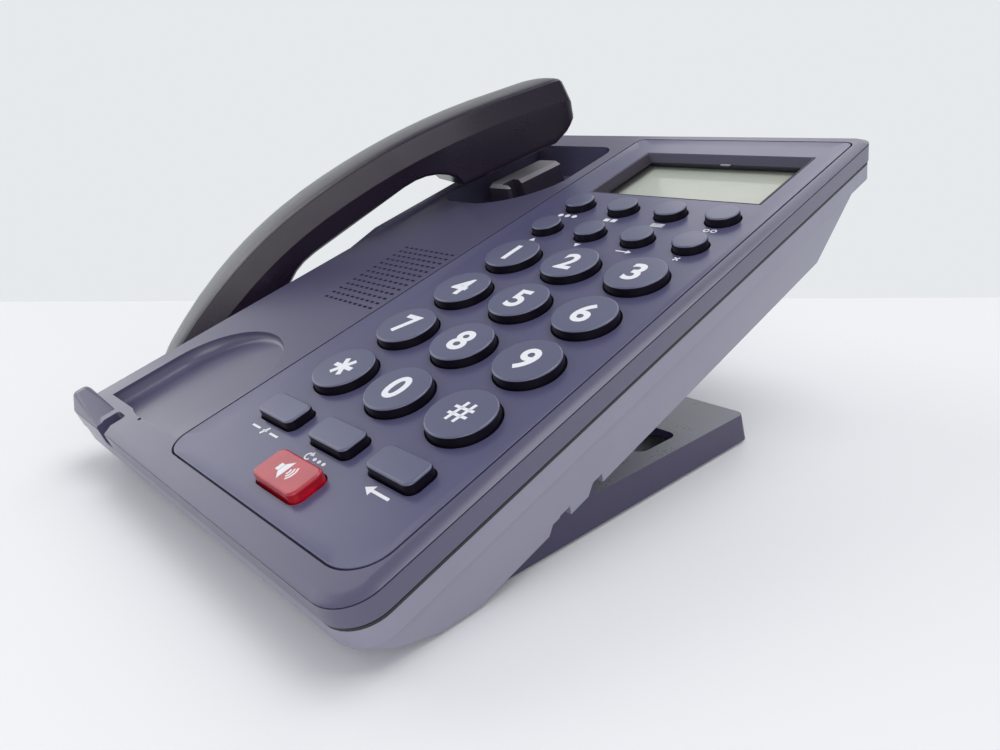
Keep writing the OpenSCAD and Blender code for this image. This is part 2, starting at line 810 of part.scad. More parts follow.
// Half of each shell's section from its parting line, mirrored to the other side
function mirrored_ring(half) = concat(half,
    [for (i = [len(half) - 1:-1:0]) if (half[i][0] != 0) [-half[i][0], half[i][1]]]);
function back_ring(y) = let (w = seam_w(y), b = w - back_in, z = back_z(y)) mirrored_ring([
    [w, seam_z(y)], [b + 0.7, z - 2.2], [b + 0.2, z - 0.7], [b - 1, z], [b * 0.75, z + crown * 0.44],
    [b * 0.4, z + crown * 0.84], [0, z + crown]]);
function front_ring(y) = let (w = seam_w(y), u = w - under_in, z = under_z(y)) mirrored_ring([
    [-w, seam_z(y)], [-u - 0.7, z + 2.4], [-u - 0.1, z + 0.8], [1.4 - u, z], [-0.4 * u, z]]);

// Skin over one ring at each station, closed at both ends
module lofted(rings) {
    n = len(rings[0]);
    last = len(rings) - 1;
    points = [for (i = [0:last]) for (p = rings[i]) [p[0], leaned(stations[i], p[1]), p[1]]];
    sides = [for (i = [0:last - 1], j = [0:n - 1]) let (k = (j + 1) % n)
        each [[i * n + j, i * n + k, (i + 1) * n + k], [i * n + j, (i + 1) * n + k, (i + 1) * n + j]]];
    polyhedron(points, concat(sides, [[for (j = [n - 1:-1:0]) j], [for (j = [0:n - 1]) last * n + j]]));
}

// Hollows that both shells share: weight pocket and cord socket
weight_size = [16, 44, 6];
weight_z = 24;
jack_size = [10, 12, 9.6];
jack_hole = [7.8, 7];
jack_y = -hand_half + 1.6;
jack_z = 9;

module shared_hollows() {
    translate([0, 0, weight_z + weight_size[2] / 2]) cube(weight_size + [0.2, 0.2, 0.2], center = true);
    translate([-jack_size[0] / 2 - 0.1, jack_y - 0.1, jack_z - jack_size[2] / 2 - 0.1])
        cube(jack_size + [0.2, 0.2, 0.2]);
    translate([-jack_hole[0] / 2, jack_y - 4, jack_z - jack_hole[1] / 2])
        cube([jack_hole[0], 5, jack_hole[1]]);
}

// Holes in a cup face: one in the middle and a ring round it
module face_holes(count, ring_d, d) {
    translate([0, 0, -2]) cylinder(d = d, h = face_wall + 4);
    for (i = [0:count - 1]) rotate([0, 0, i * 360 / count]) translate([ring_d / 2, 0, -2])
        cylinder(d = d, h = face_wall + 4);
}

hand_screw_ys = [-30, 30];

module handset_back() {
    color(hand_plum) laid_aside() difference() {
        lofted([for (y = stations) back_ring(y)]);
        shared_hollows();
        for (y = hand_screw_ys) translate([0, y, seam_z(y) - 2]) cylinder(d = 2.5, h = 7);
    }
}

module handset_front() {
    color(hand_plum) laid_aside() difference() {
        lofted([for (y = stations) front_ring(y)]);
        shared_hollows();
        on_cup_face(1) {
            translate([0, 0, face_wall]) cylinder(d = 36, h = 8);
            translate([0, 0, -1]) cylinder(d = 32, h = 1.8);
            face_holes(8, 14, 2.4);
        }
        on_cup_face(-1) {
            translate([0, 0, face_wall]) cylinder(d = 12, h = 8);
            translate([0, 0, -1]) cylinder(d = 24, h = 1.8);
            face_holes(4, 6, 1.8);
        }
        for (y = hand_screw_ys) translate([0, y, 0]) {
            cylinder(d = 2.8, h = 40);
            cylinder(d = 5.4, h = seam_z(y) - 4);
        }
    }
}

module receiver_capsule() {
    color(near_black) laid_aside() on_cup_face(1) translate([0, 0, face_wall]) {
        cylinder(d = 35.6, h = 3);
        cylinder(d = 22, h = 7);
    }
}

module microphone_capsule() {
    color(steel) laid_aside() on_cup_face(-1) translate([0, 0, face_wall]) cylinder(d = 11.6, h = 6);
}

module handset_weight() {
    color(steel) laid_aside() translate([0, 0, weight_z + weight_size[2] / 2])
        cube(weight_size, center = true);
}

module handset_jack() {
    corner = [-jack_size[0] / 2, jack_y, jack_z - jack_size[2] / 2];
    color(near_black) laid_aside() translate(corner) difference() {
        cube(jack_size);
        translate([(jack_size[0] - jack_hole[0]) / 2, -1, (jack_size[2] - jack_hole[1]) / 2])
            cube([jack_hole[0], jack_size[1] - 1, jack_hole[1]]);
    }
}

module handset_screws() {
    color(steel) laid_aside() for (y = hand_screw_ys) translate([0, y, seam_z(y) - 4])
        screw(2.4, 8, [4.8, 1.8]);
}

for (k = KEYS) key(k);
upper_shell();
lower_shell();
key_panel();
display_bezel();
display_window();
display_glass();
main_board();
key_mat();
speaker_lamp();
loudspeaker();
hands_free_microphone();
hook_lever();
hook_switch();
line_jack();
handset_cord_jack();
front_foot();
stand_feet();
tilt_stand();
case_screws();
board_screws();
handset_back();
handset_front();
receiver_capsule();
microphone_capsule();
handset_weight();
handset_jack();
handset_screws();
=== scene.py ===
"""Looks of a corded desk telephone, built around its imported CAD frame.

Lengths are in metres. The key face slopes, so pieces on it are drawn in face coordinates
(x to the right, y up the slope, z out of the face), which KeyFace turns into the row frame.
"""

import json
import logging
import math
from dataclasses import dataclass, field
from enum import Enum
from typing import Any, Callable, Iterable, Optional, Sequence, Union

import bmesh
import bpy
from mathutils import Matrix, Vector
from mathutils.bvhtree import BVHTree


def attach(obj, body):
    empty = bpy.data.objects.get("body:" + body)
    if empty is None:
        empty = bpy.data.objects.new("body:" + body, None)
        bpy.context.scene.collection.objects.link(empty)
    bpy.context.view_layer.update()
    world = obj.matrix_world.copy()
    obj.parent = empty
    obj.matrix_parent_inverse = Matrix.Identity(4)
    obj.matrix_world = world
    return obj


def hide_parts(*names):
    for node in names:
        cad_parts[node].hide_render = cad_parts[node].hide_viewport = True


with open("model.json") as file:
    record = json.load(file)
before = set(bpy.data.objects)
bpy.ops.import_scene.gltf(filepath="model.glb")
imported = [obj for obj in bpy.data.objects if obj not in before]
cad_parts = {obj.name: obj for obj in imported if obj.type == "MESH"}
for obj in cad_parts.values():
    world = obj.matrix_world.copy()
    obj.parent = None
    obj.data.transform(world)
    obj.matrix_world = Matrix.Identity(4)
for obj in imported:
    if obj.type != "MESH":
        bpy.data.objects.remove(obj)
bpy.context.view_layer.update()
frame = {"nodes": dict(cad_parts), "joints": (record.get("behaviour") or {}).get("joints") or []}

MM = 0.001
Pair = tuple[float, float]
Triple = tuple[float, float, float]
Colour = Triple
Term = Union["Wire", float]
Inputs = dict[Union[str, int], Any]
log = logging.getLogger("telephone")


def rgba(colour: Colour) -> tuple[float, float, float, float]:
    """Add full opacity to a colour."""
    return (*colour, 1.0)


def scaled(colour: Colour, factor: float) -> Colour:
    """A colour made lighter or darker."""
    return tuple(min(1.0, channel * factor) for channel in colour)


def verts_of(parts: Iterable[Any]) -> list[bmesh.types.BMVert]:
    """The vertices among the parts of a mesh, each once."""
    return [part for part in dict.fromkeys(parts) if isinstance(part, bmesh.types.BMVert)]


def corners(spots: Iterable[Vector]) -> tuple[Vector, Vector]:
    """Lowest and highest corner of the box round some points."""
    axes = list(zip(*spots))
    return Vector(min(axis) for axis in axes), Vector(max(axis) for axis in axes)


def placed(at: Sequence[float], turn: float = 0.0, size: Sequence[float] = (1.0, 1.0, 1.0)) -> Matrix:
    """A place for a shape of unit size.

    Args:
        at: Its middle.
        turn: Turn about the z axis, in degrees.
        size: Its size along each axis.

    Returns:
        The transform.
    """
    return (Matrix.Translation(at) @ Matrix.Rotation(math.radians(turn), 4, "Z")
            @ Matrix.Diagonal((*size, 1.0)))


def add_object(name: str, data: bpy.types.ID) -> bpy.types.Object:
    """Add an object to the scene.

    Args:
        name: Name of the object.
        data: Its mesh, curve, lamp or camera.

    Returns:
        The object.
    """
    made = bpy.data.objects.new(name, data)
    bpy.context.scene.collection.objects.link(made)
    return made


class Wire:
    """A shader socket that can be used in sums."""

    def __init__(self, recipe: "Recipe", socket: Optional[bpy.types.NodeSocket]) -> None:
        """Keep the socket and the recipe that it belongs to."""
        self.recipe = recipe
        self.socket = socket

    def sum(self, operation: str, *terms: Term) -> "Wire":
        """Add a Math node.

        Args:
            operation: The Math node's operation.
            terms: Its inputs, as wires or numbers.

        Returns:
            The node's result.
        """
        return self.recipe.node("ShaderNodeMath", {"operation": operation}, dict(enumerate(terms)))

    def __add__(self, other: Term) -> "Wire":
        """Sum of two values."""
        return self.sum("ADD", self, other)

    def __radd__(self, other: float) -> "Wire":
        """Sum of a number and a value."""
        return self.sum("ADD", other, self)

    def __sub__(self, other: Term) -> "Wire":
        """Difference of two values."""
        return self.sum("SUBTRACT", self, other)

    def __rsub__(self, other: float) -> "Wire":
        """Difference of a number and a value."""
        return self.sum("SUBTRACT", other, self)

    def __mul__(self, other: Term) -> "Wire":
        """Product of two values."""
        return self.sum("MULTIPLY", self, other)

    def __rmul__(self, other: float) -> "Wire":
        """Product of a number and a value."""
        return self.sum("MULTIPLY", other, self)

    def most(self, other: Term) -> "Wire":
        """The larger of two values."""
        return self.sum("MAXIMUM", self, other)


class Recipe:
    """The node tree of one material or of the world."""

    def __init__(self, owner: Union[bpy.types.Material, bpy.types.World]) -> None:
        """Clear the owner's node tree.

        Args:
            owner: Material or world that the nodes are made for.
        """
        owner.use_nodes = True
        self.owner = owner
        self.tree = owner.node_tree
        self.tree.nodes.clear()

    @classmethod
    def material(cls, name: str) -> "Recipe":
        """Start the tree of a new material."""
        return cls(bpy.data.materials.new(name))

    def node(self, kind: str, settings: Optional[dict[str, Any]] = None,
             inputs: Optional[Inputs] = None, output: Union[str, int] = 0) -> Wire:
        """Add one node.

        Args:
            kind: The node's type.
            settings: Its properties; "stops" gives a ramp's positions and colours.
            inputs: Values or wires by socket.
            output: Which of its outputs to return.

        Returns:
            The chosen output.
        """
        made = self.tree.nodes.new(kind)
        for name, value in (settings or {}).items():
            if name == "stops":
                self.set_stops(made.color_ramp, value)
            else:
                setattr(made, name, value)
        for key, value in (inputs or {}).items():
            if isinstance(value, Wire):
                self.tree.links.new(value.socket, made.inputs[key])
            else:
                made.inputs[key].default_value = value
        return Wire(self, made.outputs[output] if made.outputs else None)

    @staticmethod
    def set_stops(ramp: bpy.types.ColorRamp, stops: Sequence[tuple[float, Colour]]) -> None:
        """Give a ramp its stops.

        Args:
            ramp: The ramp to fill.
            stops: Position and colour of each stop, in order.
        """
        while len(ramp.elements) < len(stops):
            ramp.elements.new(1.0)
        for element, (position, colour) in zip(ramp.elements, stops):
            element.position = position
            element.color = rgba(colour)

    def place(self) -> Wire:
        """Object coordinates of the shaded point."""
        return self.node("ShaderNodeTexCoord", output="Object")

    def speckle(self, size: float, detail: float = 2.0, stretch: Triple = (1.0, 1.0, 1.0)) -> Wire:
        """Noise from 0 to 1 with blobs of a given size.

        Args:
            size: Width of one blob.
            detail: How many finer layers it has.
            stretch: Squeeze along each axis.

        Returns:
            The noise value.
        """
        spot = self.node("ShaderNodeMapping", inputs={"Vector": self.place(), "Scale": stretch})
        return self.node("ShaderNodeTexNoise", {"noise_dimensions": "3D"},
                         {"Vector": spot, "Scale": 1.0 / size, "Detail": detail, "Roughness": 0.55})

    def mottled(self, colour: Colour, dark: float, light: float, amount: Wire) -> Wire:
        """A colour that varies over the surface.

        Args:
            colour: The mean colour.
            dark: Its share where the amount is 0.
            light: Its share where the amount is 1.
            amount: How far between both.

        Returns:
            The varying colour.
        """
        return self.node("ShaderNodeMix", {"data_type": "RGBA"},
                         {0: amount, 6: rgba(scaled(colour, dark)), 7: rgba(scaled(colour, light))}, output=2)

    def bump(self, height: Wire, depth: float, strength: float = 1.0) -> Wire:
        """Normal of a finely uneven surface.

        Args:
            height: Height from 0 to 1.
            depth: Real depth at height 1.
            strength: How much of the effect shows.

        Returns:
            The bent normal.
        """
        return self.node("ShaderNodeBump", inputs={"Height": height, "Distance": depth, "Strength": strength})

    def principled(self, inputs: Inputs) -> bpy.types.Material:
        """End the tree in one Principled shader.

        Args:
            inputs: Values or wires by socket.

        Returns:
            The finished material.
        """
        shader = self.node("ShaderNodeBsdfPrincipled", inputs=inputs)
        self.node("ShaderNodeOutputMaterial", inputs={"Surface": shader})
        return self.owner


@dataclass(frozen=True)
class Substance:
    """What a surface is made of.

    Attributes:
        name: Name of the material.
        colour: Its main colour.
    """

    name: str
    colour: Colour

    def make(self) -> bpy.types.Material:
        """Build the material."""
        raise NotImplementedError


@dataclass(frozen=True)
class MouldedPlastic(Substance):
    """Injection-moulded plastic with an eroded mould texture and faint handling marks.

    Attributes:
        roughness: Mean roughness.
        grain: Size of one grain of the mould texture.
        depth: Depth of the mould texture.
        cloud: Size of the patches in which the colour varies.
        drift: Share by which it varies.
        smear: Size of the patches that fingers have polished.
        handling: Roughness lost there.
        coat: Weight of the glossy skin.
        ior: Index of refraction, which sets how much it mirrors.
    """

    roughness: float = 0.42
    grain: float = 0.45 * MM
    depth: float = 0.012 * MM
    cloud: float = 26 * MM
    drift: float = 0.12
    smear: float = 9 * MM
    handling: float = 0.1
    coat: float = 0.0
    ior: float = 1.5

    def make(self) -> bpy.types.Material:
        """Build the material.

        Returns:
            The finished material.
        """
        recipe = Recipe.material(self.name)
        grain = recipe.speckle(self.grain, detail=3.0)
        cloud = recipe.speckle(self.cloud, detail=3.0)
        smear = recipe.speckle(self.smear, detail=4.0, stretch=(1.0, 0.45, 1.0))
        tone = 0.7 * cloud + 0.3 * grain
        return recipe.principled({
            "Base Color": recipe.mottled(self.colour, 1 - self.drift, 1 + self.drift, tone),
            "Roughness": self.roughness + 0.06 * (grain - 0.5) - self.handling * (smear - 0.35).most(0.0),
            "Normal": recipe.bump(grain, self.depth),
            "Coat Weight": self.coat,
            "Coat Roughness": 0.22,
            "IOR": self.ior,
        })


@dataclass(frozen=True)
class TintedPlastic(Substance):
    """Translucent tinted plastic with a bright polished skin.

    Attributes:
        see_through: Share of the light that passes.
    """

    see_through: float = 0.35

    def make(self) -> bpy.types.Material:
        """Build the material.

        Returns:
            The finished material.
        """
        recipe = Recipe.material(self.name)
        flow = recipe.speckle(5 * MM)
        dust = recipe.speckle(0.5 * MM)
        return recipe.principled({
            "Base Color": recipe.mottled(self.colour, 0.75, 1.2, flow),
            "Roughness": 0.13 + 0.08 * dust,
            "Transmission Weight": self.see_through,
            "IOR": 1.49,
            "Coat Weight": 0.4,
            "Coat Roughness": 0.08,
        })


@dataclass(frozen=True)
class ClearPlastic(Substance):
    """Thin clear window with a trace of haze.

    Attributes:
        veil: How much of the haze hides what lies behind.
    """

    veil: float = 0.07

    def make(self) -> bpy.types.Material:
        """Build the material.

        Returns:
            The finished material.
        """
        recipe = Recipe.material(self.name)
        haze = recipe.speckle(4 * MM, detail=4.0)
        return recipe.principled({
            "Base Color": rgba(self.colour),
            "Roughness": 0.04 + 0.05 * haze,
            "Alpha": self.veil * (0.6 + 0.8 * haze),
        })


@dataclass(frozen=True)
class LiquidCrystal(Substance):
    """Reflective display glass with its fine lattice of lines.

    Attributes:
        pitch: Spacing of the lines.
        WAVE: Length of the texture's wave at scale 1.
    """

    pitch: float = 0.5 * MM

    WAVE = 0.32

    def make(self) -> bpy.types.Material:
        """Build the material.

        Returns:
            The finished material.
        """
        recipe = Recipe.material(self.name)
        lattice = recipe.node("ShaderNodeTexWave", {"wave_type": "BANDS", "bands_direction": "X"},
                              {"Vector": recipe.place(), "Scale": self.WAVE / self.pitch})
        cloud = recipe.speckle(30 * MM, detail=1.0)
        return recipe.principled({
            "Base Color": recipe.mottled(self.colour, 0.94, 1.05, 0.75 * cloud + 0.25 * lattice),
            "Roughness": 0.28 + 0.06 * cloud,
            "Coat Weight": 0.5,
            "Coat Roughness": 0.05,
        })


@dataclass(frozen=True)
class SoftRubber(Substance):
    """Matt rubber with a fine rubbed surface."""

    def make(self) -> bpy.types.Material:
        """Build the material.

        Returns:
            The finished material.
        """
        recipe = Recipe.material(self.name)
        pores = recipe.speckle(0.35 * MM, detail=4.0)
        dust = recipe.speckle(7 * MM, detail=5.0)
        return recipe.principled({
            "Base Color": recipe.mottled(self.colour, 1.0, 2.2, 0.6 * dust + 0.2 * pores),
            "Roughness": 0.78 + 0.15 * pores,
            "Normal": recipe.bump(pores, 0.03 * MM),
        })


@dataclass(frozen=True)
class BrightMetal(Substance):
    """Plated metal with drawing lines.

    Attributes:
        roughness: Mean roughness.
    """

    roughness: float = 0.3

    def make(self) -> bpy.types.Material:
        """Build the material.

        Returns:
            The finished material.
        """
        recipe = Recipe.material(self.name)
        lines = recipe.speckle(0.8 * MM, detail=3.0, stretch=(1.0, 0.05, 1.0))
        return recipe.principled({
            "Base Color": recipe.mottled(self.colour, 0.85, 1.0, lines),
            "Metallic": 1.0,
            "Roughness": self.roughness + 0.15 * lines,
            "Normal": recipe.bump(lines, 0.004 * MM),
        })


@dataclass(frozen=True)
class BoardLaminate(Substance):
    """Circuit laminate with paler tracks under its varnish.

    Attributes:
        track: Spacing of the tracks.
        BRICK: Width of the texture's brick at scale 1.
    """

    track: float = 2.4 * MM

    BRICK = 0.5

    def make(self) -> bpy.types.Material:
        """Build the material.

        Returns:
            The finished material.
        """
        recipe = Recipe.material(self.name)
        cells = recipe.node("ShaderNodeTexBrick", inputs={
            "Vector": recipe.place(), "Color1": rgba(self.colour), "Color2": rgba(scaled(self.colour, 0.8)),
            "Mortar": rgba(scaled(self.colour, 1.7)), "Scale": self.BRICK / self.track,
            "Mortar Size": 0.03})
        glaze = recipe.speckle(3 * MM)
        return recipe.principled({"Base Color": cells, "Roughness": 0.3 + 0.2 * glaze, "Coat Weight": 0.3})


@dataclass(frozen=True)
class PadPrint(Substance):
    """Pad-printed ink, a little uneven."""

    def make(self) -> bpy.types.Material:
        """Build the material.

        Returns:
            The finished material.
        """
        recipe = Recipe.material(self.name)
        cover = recipe.speckle(0.3 * MM, detail=3.0)
        return recipe.principled({
            "Base Color": recipe.mottled(self.colour, 0.9, 1.0, cover),
            "Roughness": 0.42 + 0.15 * cover,
        })


class Finish(Enum):
    """The finishes of the telephone."""

    CASE = MouldedPlastic("case_plum", (0.082, 0.076, 0.138), roughness=0.33, coat=0.35)
    PANEL = MouldedPlastic("panel_plum", (0.078, 0.077, 0.156), roughness=0.32, coat=0.35)
    # Lower shell: a paler plum than the case, partly painted reflection of the white table on its sides.
    UNDER_AND_SHEEN = MouldedPlastic("under_plum_and_painted_sheen", (0.245, 0.240, 0.315), roughness=0.4, coat=0.2)
    # Stand: one plastic, with painted light on its level faces and painted shade on its upright sides.
    STAND = MouldedPlastic("stand_plum_painted_light", (0.150, 0.145, 0.185), roughness=0.3, depth=0.004 * MM,
                           coat=0.5)
    STAND_SIDE_SHADE = MouldedPlastic("stand_side_painted_shade", (0.034, 0.025, 0.075), roughness=0.4)
    HANDSET = MouldedPlastic("handset_plum", (0.015, 0.009, 0.021), roughness=0.3, depth=0.004 * MM, ior=1.42)
    # Key caps: one dark plastic, with painted light on the upper sides and painted shade on the sides.
    KEY_TOP_LIT = MouldedPlastic("key_top_painted_light", (0.098, 0.102, 0.176), roughness=0.33, grain=0.3 * MM,
                             coat=0.35)
    KEY_SIDE_SHADE = MouldedPlastic("key_side_painted_shade", (0.005, 0.003, 0.008), roughness=0.45, ior=1.3)
    # Pale grey painted highlight, on the hook lever's top and on the display catch.
    HOOK = MouldedPlastic("painted_highlight_grey", (0.300, 0.288, 0.318), roughness=0.4)
    # Display surround: the panel's plum, painted darker as shade inside the display's recess.
    SURROUND_SHADE = MouldedPlastic("surround_plum_painted_shade", (0.048, 0.043, 0.084), roughness=0.34, coat=0.35)
    SHADE = MouldedPlastic("shade_plum", (0.030, 0.024, 0.040), roughness=0.45)
    # Black of the sockets, switches and gasket; also painted shade for the parting gap, the screws' cross
    # recesses and the display's edge.
    BLACK = MouldedPlastic("black_and_painted_shade", (0.010, 0.009, 0.011), roughness=0.5)
    RED = TintedPlastic("key_red", (0.60, 0.022, 0.045))
    # Red key's sides: a brighter, more see-through red, a painted glow of light passing through the key.
    RED_SIDE_GLOW = TintedPlastic("key_red_side_painted_glow", (0.75, 0.004, 0.020), see_through=0.5)
    CLEAR = ClearPlastic("window_clear", (0.80, 0.84, 0.83))
    CRYSTAL = LiquidCrystal("display_grey", (0.45, 0.48, 0.40))
    RUBBER = SoftRubber("foot_rubber", (0.014, 0.013, 0.014))
    STEEL = BrightMetal("screw_steel", (0.62, 0.62, 0.64))
    GOLD = BrightMetal("contact_gold", (0.83, 0.60, 0.24), roughness=0.2)
    BOARD = BoardLaminate("board_green", (0.02, 0.11, 0.05))
    INK = PadPrint("print_white", (0.83, 0.84, 0.87))

    def material(self) -> bpy.types.Material:
        """The finish's material, made on first use."""
        found = bpy.data.materials.get(self.value.name)
        return found or self.value.make()


class KeyFace:
    """The sloping key face, as a turned coordinate system."""

    def __init__(self, press_joint: str) -> None:
        """Take the slope from a key's joint.

        Args:
            press_joint: Name of a joint that presses straight into the face.
        """
        axis = next(joint["axis"] for joint in frame["joints"] if joint["name"] == press_joint)
        self.turn = Matrix.Rotation(math.atan2(axis[1], -axis[2]), 4, "X")

    def shape(self, node: str) -> bmesh.types.BMesh:
        """Copy a CAD node's mesh into face coordinates.

        Args:
            node: The node's name.

        Returns:
            The copy, which the caller frees.
        """
        shape = bmesh.new()
        shape.from_mesh(frame["nodes"][node].data)
        bmesh.ops.transform(shape, matrix=self.turn.inverted(), verts=shape.verts)
        return shape

    def box(self, node: str) -> tuple[Vector, Vector]:
        """Lowest and highest corner of a CAD node in face coordinates."""
        back = self.turn.inverted()
        return corners(back @ vertex.co for vertex in frame["nodes"][node].data.vertices)

    def seen(self, made: bmesh.types.BMFace) -> tuple[Vector, Vector]:
        """Middle and normal of a mesh's face in face coordinates."""
        back = self.turn.inverted()
        return back @ made.calc_center_median(), back.to_3x3() @ made.normal

    def top(self, node: str) -> Vector:
        """Middle of a node's upper side in face coordinates."""
        low, high = self.box(node)
        return Vector(((low.x + high.x) / 2, (low.y + high.y) / 2, high.z))

    def height(self, node: str, x: float, y: float) -> float:
        """Height of a node's upper surface over a point of the face.

        Args:
            node: The node's name.
            x: Place across the face.
            y: Place up the slope.

        Returns:
            Height in face coordinates.
        """
        shape = self.shape(node)
        hit, *_ = BVHTree.FromBMesh(shape).ray_cast(Vector((x, y, 1.0)), Vector((0.0, 0.0, -1.0)))
        shape.free()
        return hit.z


class Workpiece:
    """A mesh that is shaped with bmesh operators and then dressed.

    Attributes:
        SHARP: Edges sharper than this, in degrees, are softened.
        SQUARE: Edges sharper than this, in degrees, count as square.
        SEAM: Distance at which vertices count as one.
        FLAT: Faces that meet at less than this, in degrees, lie in one plane.
    """

    SHARP = 25.0
    SQUARE = 60.0
    SEAM = 0.001 * MM
    FLAT = 0.6

    def __init__(self, name: str) -> None:
        """Start an empty mesh."""
        self.name = name
        self.bm = bmesh.new()

    @classmethod
    def copy_of(cls, node: str, name: str) -> "Workpiece":
        """Start from a CAD node's shape.

        Args:
            node: The node to copy.
            name: Name of the piece.

        Returns:
            The copy, with its triangles merged into whole faces.
        """
        piece = cls(name)
        piece.bm.from_mesh(frame["nodes"][node].data)
        bmesh.ops.remove_doubles(piece.bm, verts=piece.bm.verts, dist=2 * cls.SEAM)
        return piece.merge_flat()

    def merge_flat(self) -> "Workpiece":
        """Merge triangles that lie in one plane into whole faces."""
        bmesh.ops.dissolve_limit(self.bm, angle_limit=math.radians(self.FLAT), verts=self.bm.verts,
                                 edges=self.bm.edges)
        return self

    def sharp_edges(self, angle: float) -> list[bmesh.types.BMEdge]:
        """Edges whose faces meet at more than an angle in degrees."""
        limit = math.radians(angle)
        return [e for e in self.bm.edges if len(e.link_faces) == 2 and e.calc_face_angle(0.0) > limit]

    def bevel(self, edges: Iterable[bmesh.types.BMEdge], width: float, segments: int) -> "Workpiece":
        """Round some edges off.

        Args:
            edges: The edges.
            width: Width of the rounding.
            segments: Faces across it.

        Returns:
            The piece itself.
        """
        bmesh.ops.bevel(self.bm, geom=list(edges), offset=width, offset_type="OFFSET", segments=segments,
                        profile=0.5, affect="EDGES", clamp_overlap=True, material=-1)
        return self

    def soften(self, width: float, segments: int = 2) -> "Workpiece":
        """Round every sharp edge off.

        Args:
            width: Width of the rounding.
            segments: Faces across it.

        Returns:
            The piece itself.
        """
        return self.bevel(self.sharp_edges(self.SHARP), width, segments)

    def thicken(self, height: float) -> "Workpiece":
        """Draw a flat shape up to a height.

        Args:
            height: The height.

        Returns:
            The piece itself.
        """
        raised = bmesh.ops.extrude_face_region(self.bm, geom=list(self.bm.faces))
        bmesh.ops.translate(self.bm, verts=verts_of(raised["geom"]), vec=(0.0, 0.0, height))
        return self

    def score(self, turn: Matrix, height: float) -> "Workpiece":
        """Cut edges all round at one height of a turned coordinate system.

        Args:
            turn: The coordinate system.
            height: Height along its z axis.

        Returns:
            The piece itself.
        """
        up = turn.to_3x3() @ Vector((0.0, 0.0, 1.0))
        bmesh.ops.bisect_plane(self.bm, geom=[*self.bm.verts, *self.bm.edges, *self.bm.faces], dist=self.SEAM,
                               plane_co=height * up, plane_no=up)
        return self

    def move(self, place: Matrix) -> "Workpiece":
        """Transform the whole mesh."""
        bmesh.ops.transform(self.bm, matrix=place, verts=self.bm.verts)
        return self

    def outward(self) -> "Workpiece":
        """Merge doubles and turn every face outwards.

        Returns:
            The piece itself.
        """
        bmesh.ops.remove_doubles(self.bm, verts=self.bm.verts, dist=self.SEAM)
        bmesh.ops.recalc_face_normals(self.bm, faces=self.bm.faces)
        return self

    def paint(self, choose: Callable[[bmesh.types.BMFace], int]) -> "Workpiece":
        """Give each face the number of its finish.

        Args:
            choose: Gives the number for a face.

        Returns:
            The piece itself.
        """
        for face in self.bm.faces:
            face.material_index = choose(face)
        return self

    def as_object(self, materials: Iterable[bpy.types.Material]) -> bpy.types.Object:
        """Turn the mesh into an object of the scene.

        Args:
            materials: Its materials, by face number.

        Returns:
            The object.
        """
        mesh = bpy.data.meshes.new(self.name)
        self.bm.to_mesh(mesh)
        self.bm.free()
        for material in materials:
            mesh.materials.append(material)
        return add_object(self.name, mesh)

    def finish(self, body: str, slot: str, finishes: Sequence[Finish], stands_for: Iterable[str] = (),
               crease: float = 50.0) -> bpy.types.Object:
        """Make the object, dress it and set it on its body.

        Args:
            body: CAD body that it moves with.
            slot: Material slot of the record; not used.
            finishes: Its finishes, by face number.
            stands_for: CAD nodes that it replaces.
            crease: Edges sharper than this, in degrees, stay crisp in shading.

        Returns:
            The finished object.
        """
        piece = self.as_object(finish.material() for finish in finishes)
        piece.data.shade_smooth()
        piece.data.set_sharp_from_angle(angle=math.radians(crease))
        weighted = piece.modifiers.new("even shading", "WEIGHTED_NORMAL")
        weighted.keep_sharp = True
        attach(piece, body)
        if stands_for:
            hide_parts(*stands_for)
        log.info("%s: %d faces on %s", self.name, len(piece.data.polygons), body)
        return piece


@dataclass(frozen=True)
class Moulding:
    """One moulding.

    Attributes:
        node: CAD node that it copies.
        slot: Material slot of the record.
        finish: Its finish.
        edge: Radius of its edges.
        body: CAD body that it moves with.
        shade: Finish of its faces in painted shade, where it has some.
        dark: Tells by a face's middle and normal, in face coordinates, whether it takes painted shade.
    """

    node: str
    slot: str
    finish: Finish
    edge: float
    body: str = "base"
    shade: Optional[Finish] = None
    dark: Callable[[Vector, Vector], bool] = lambda at, normal: False


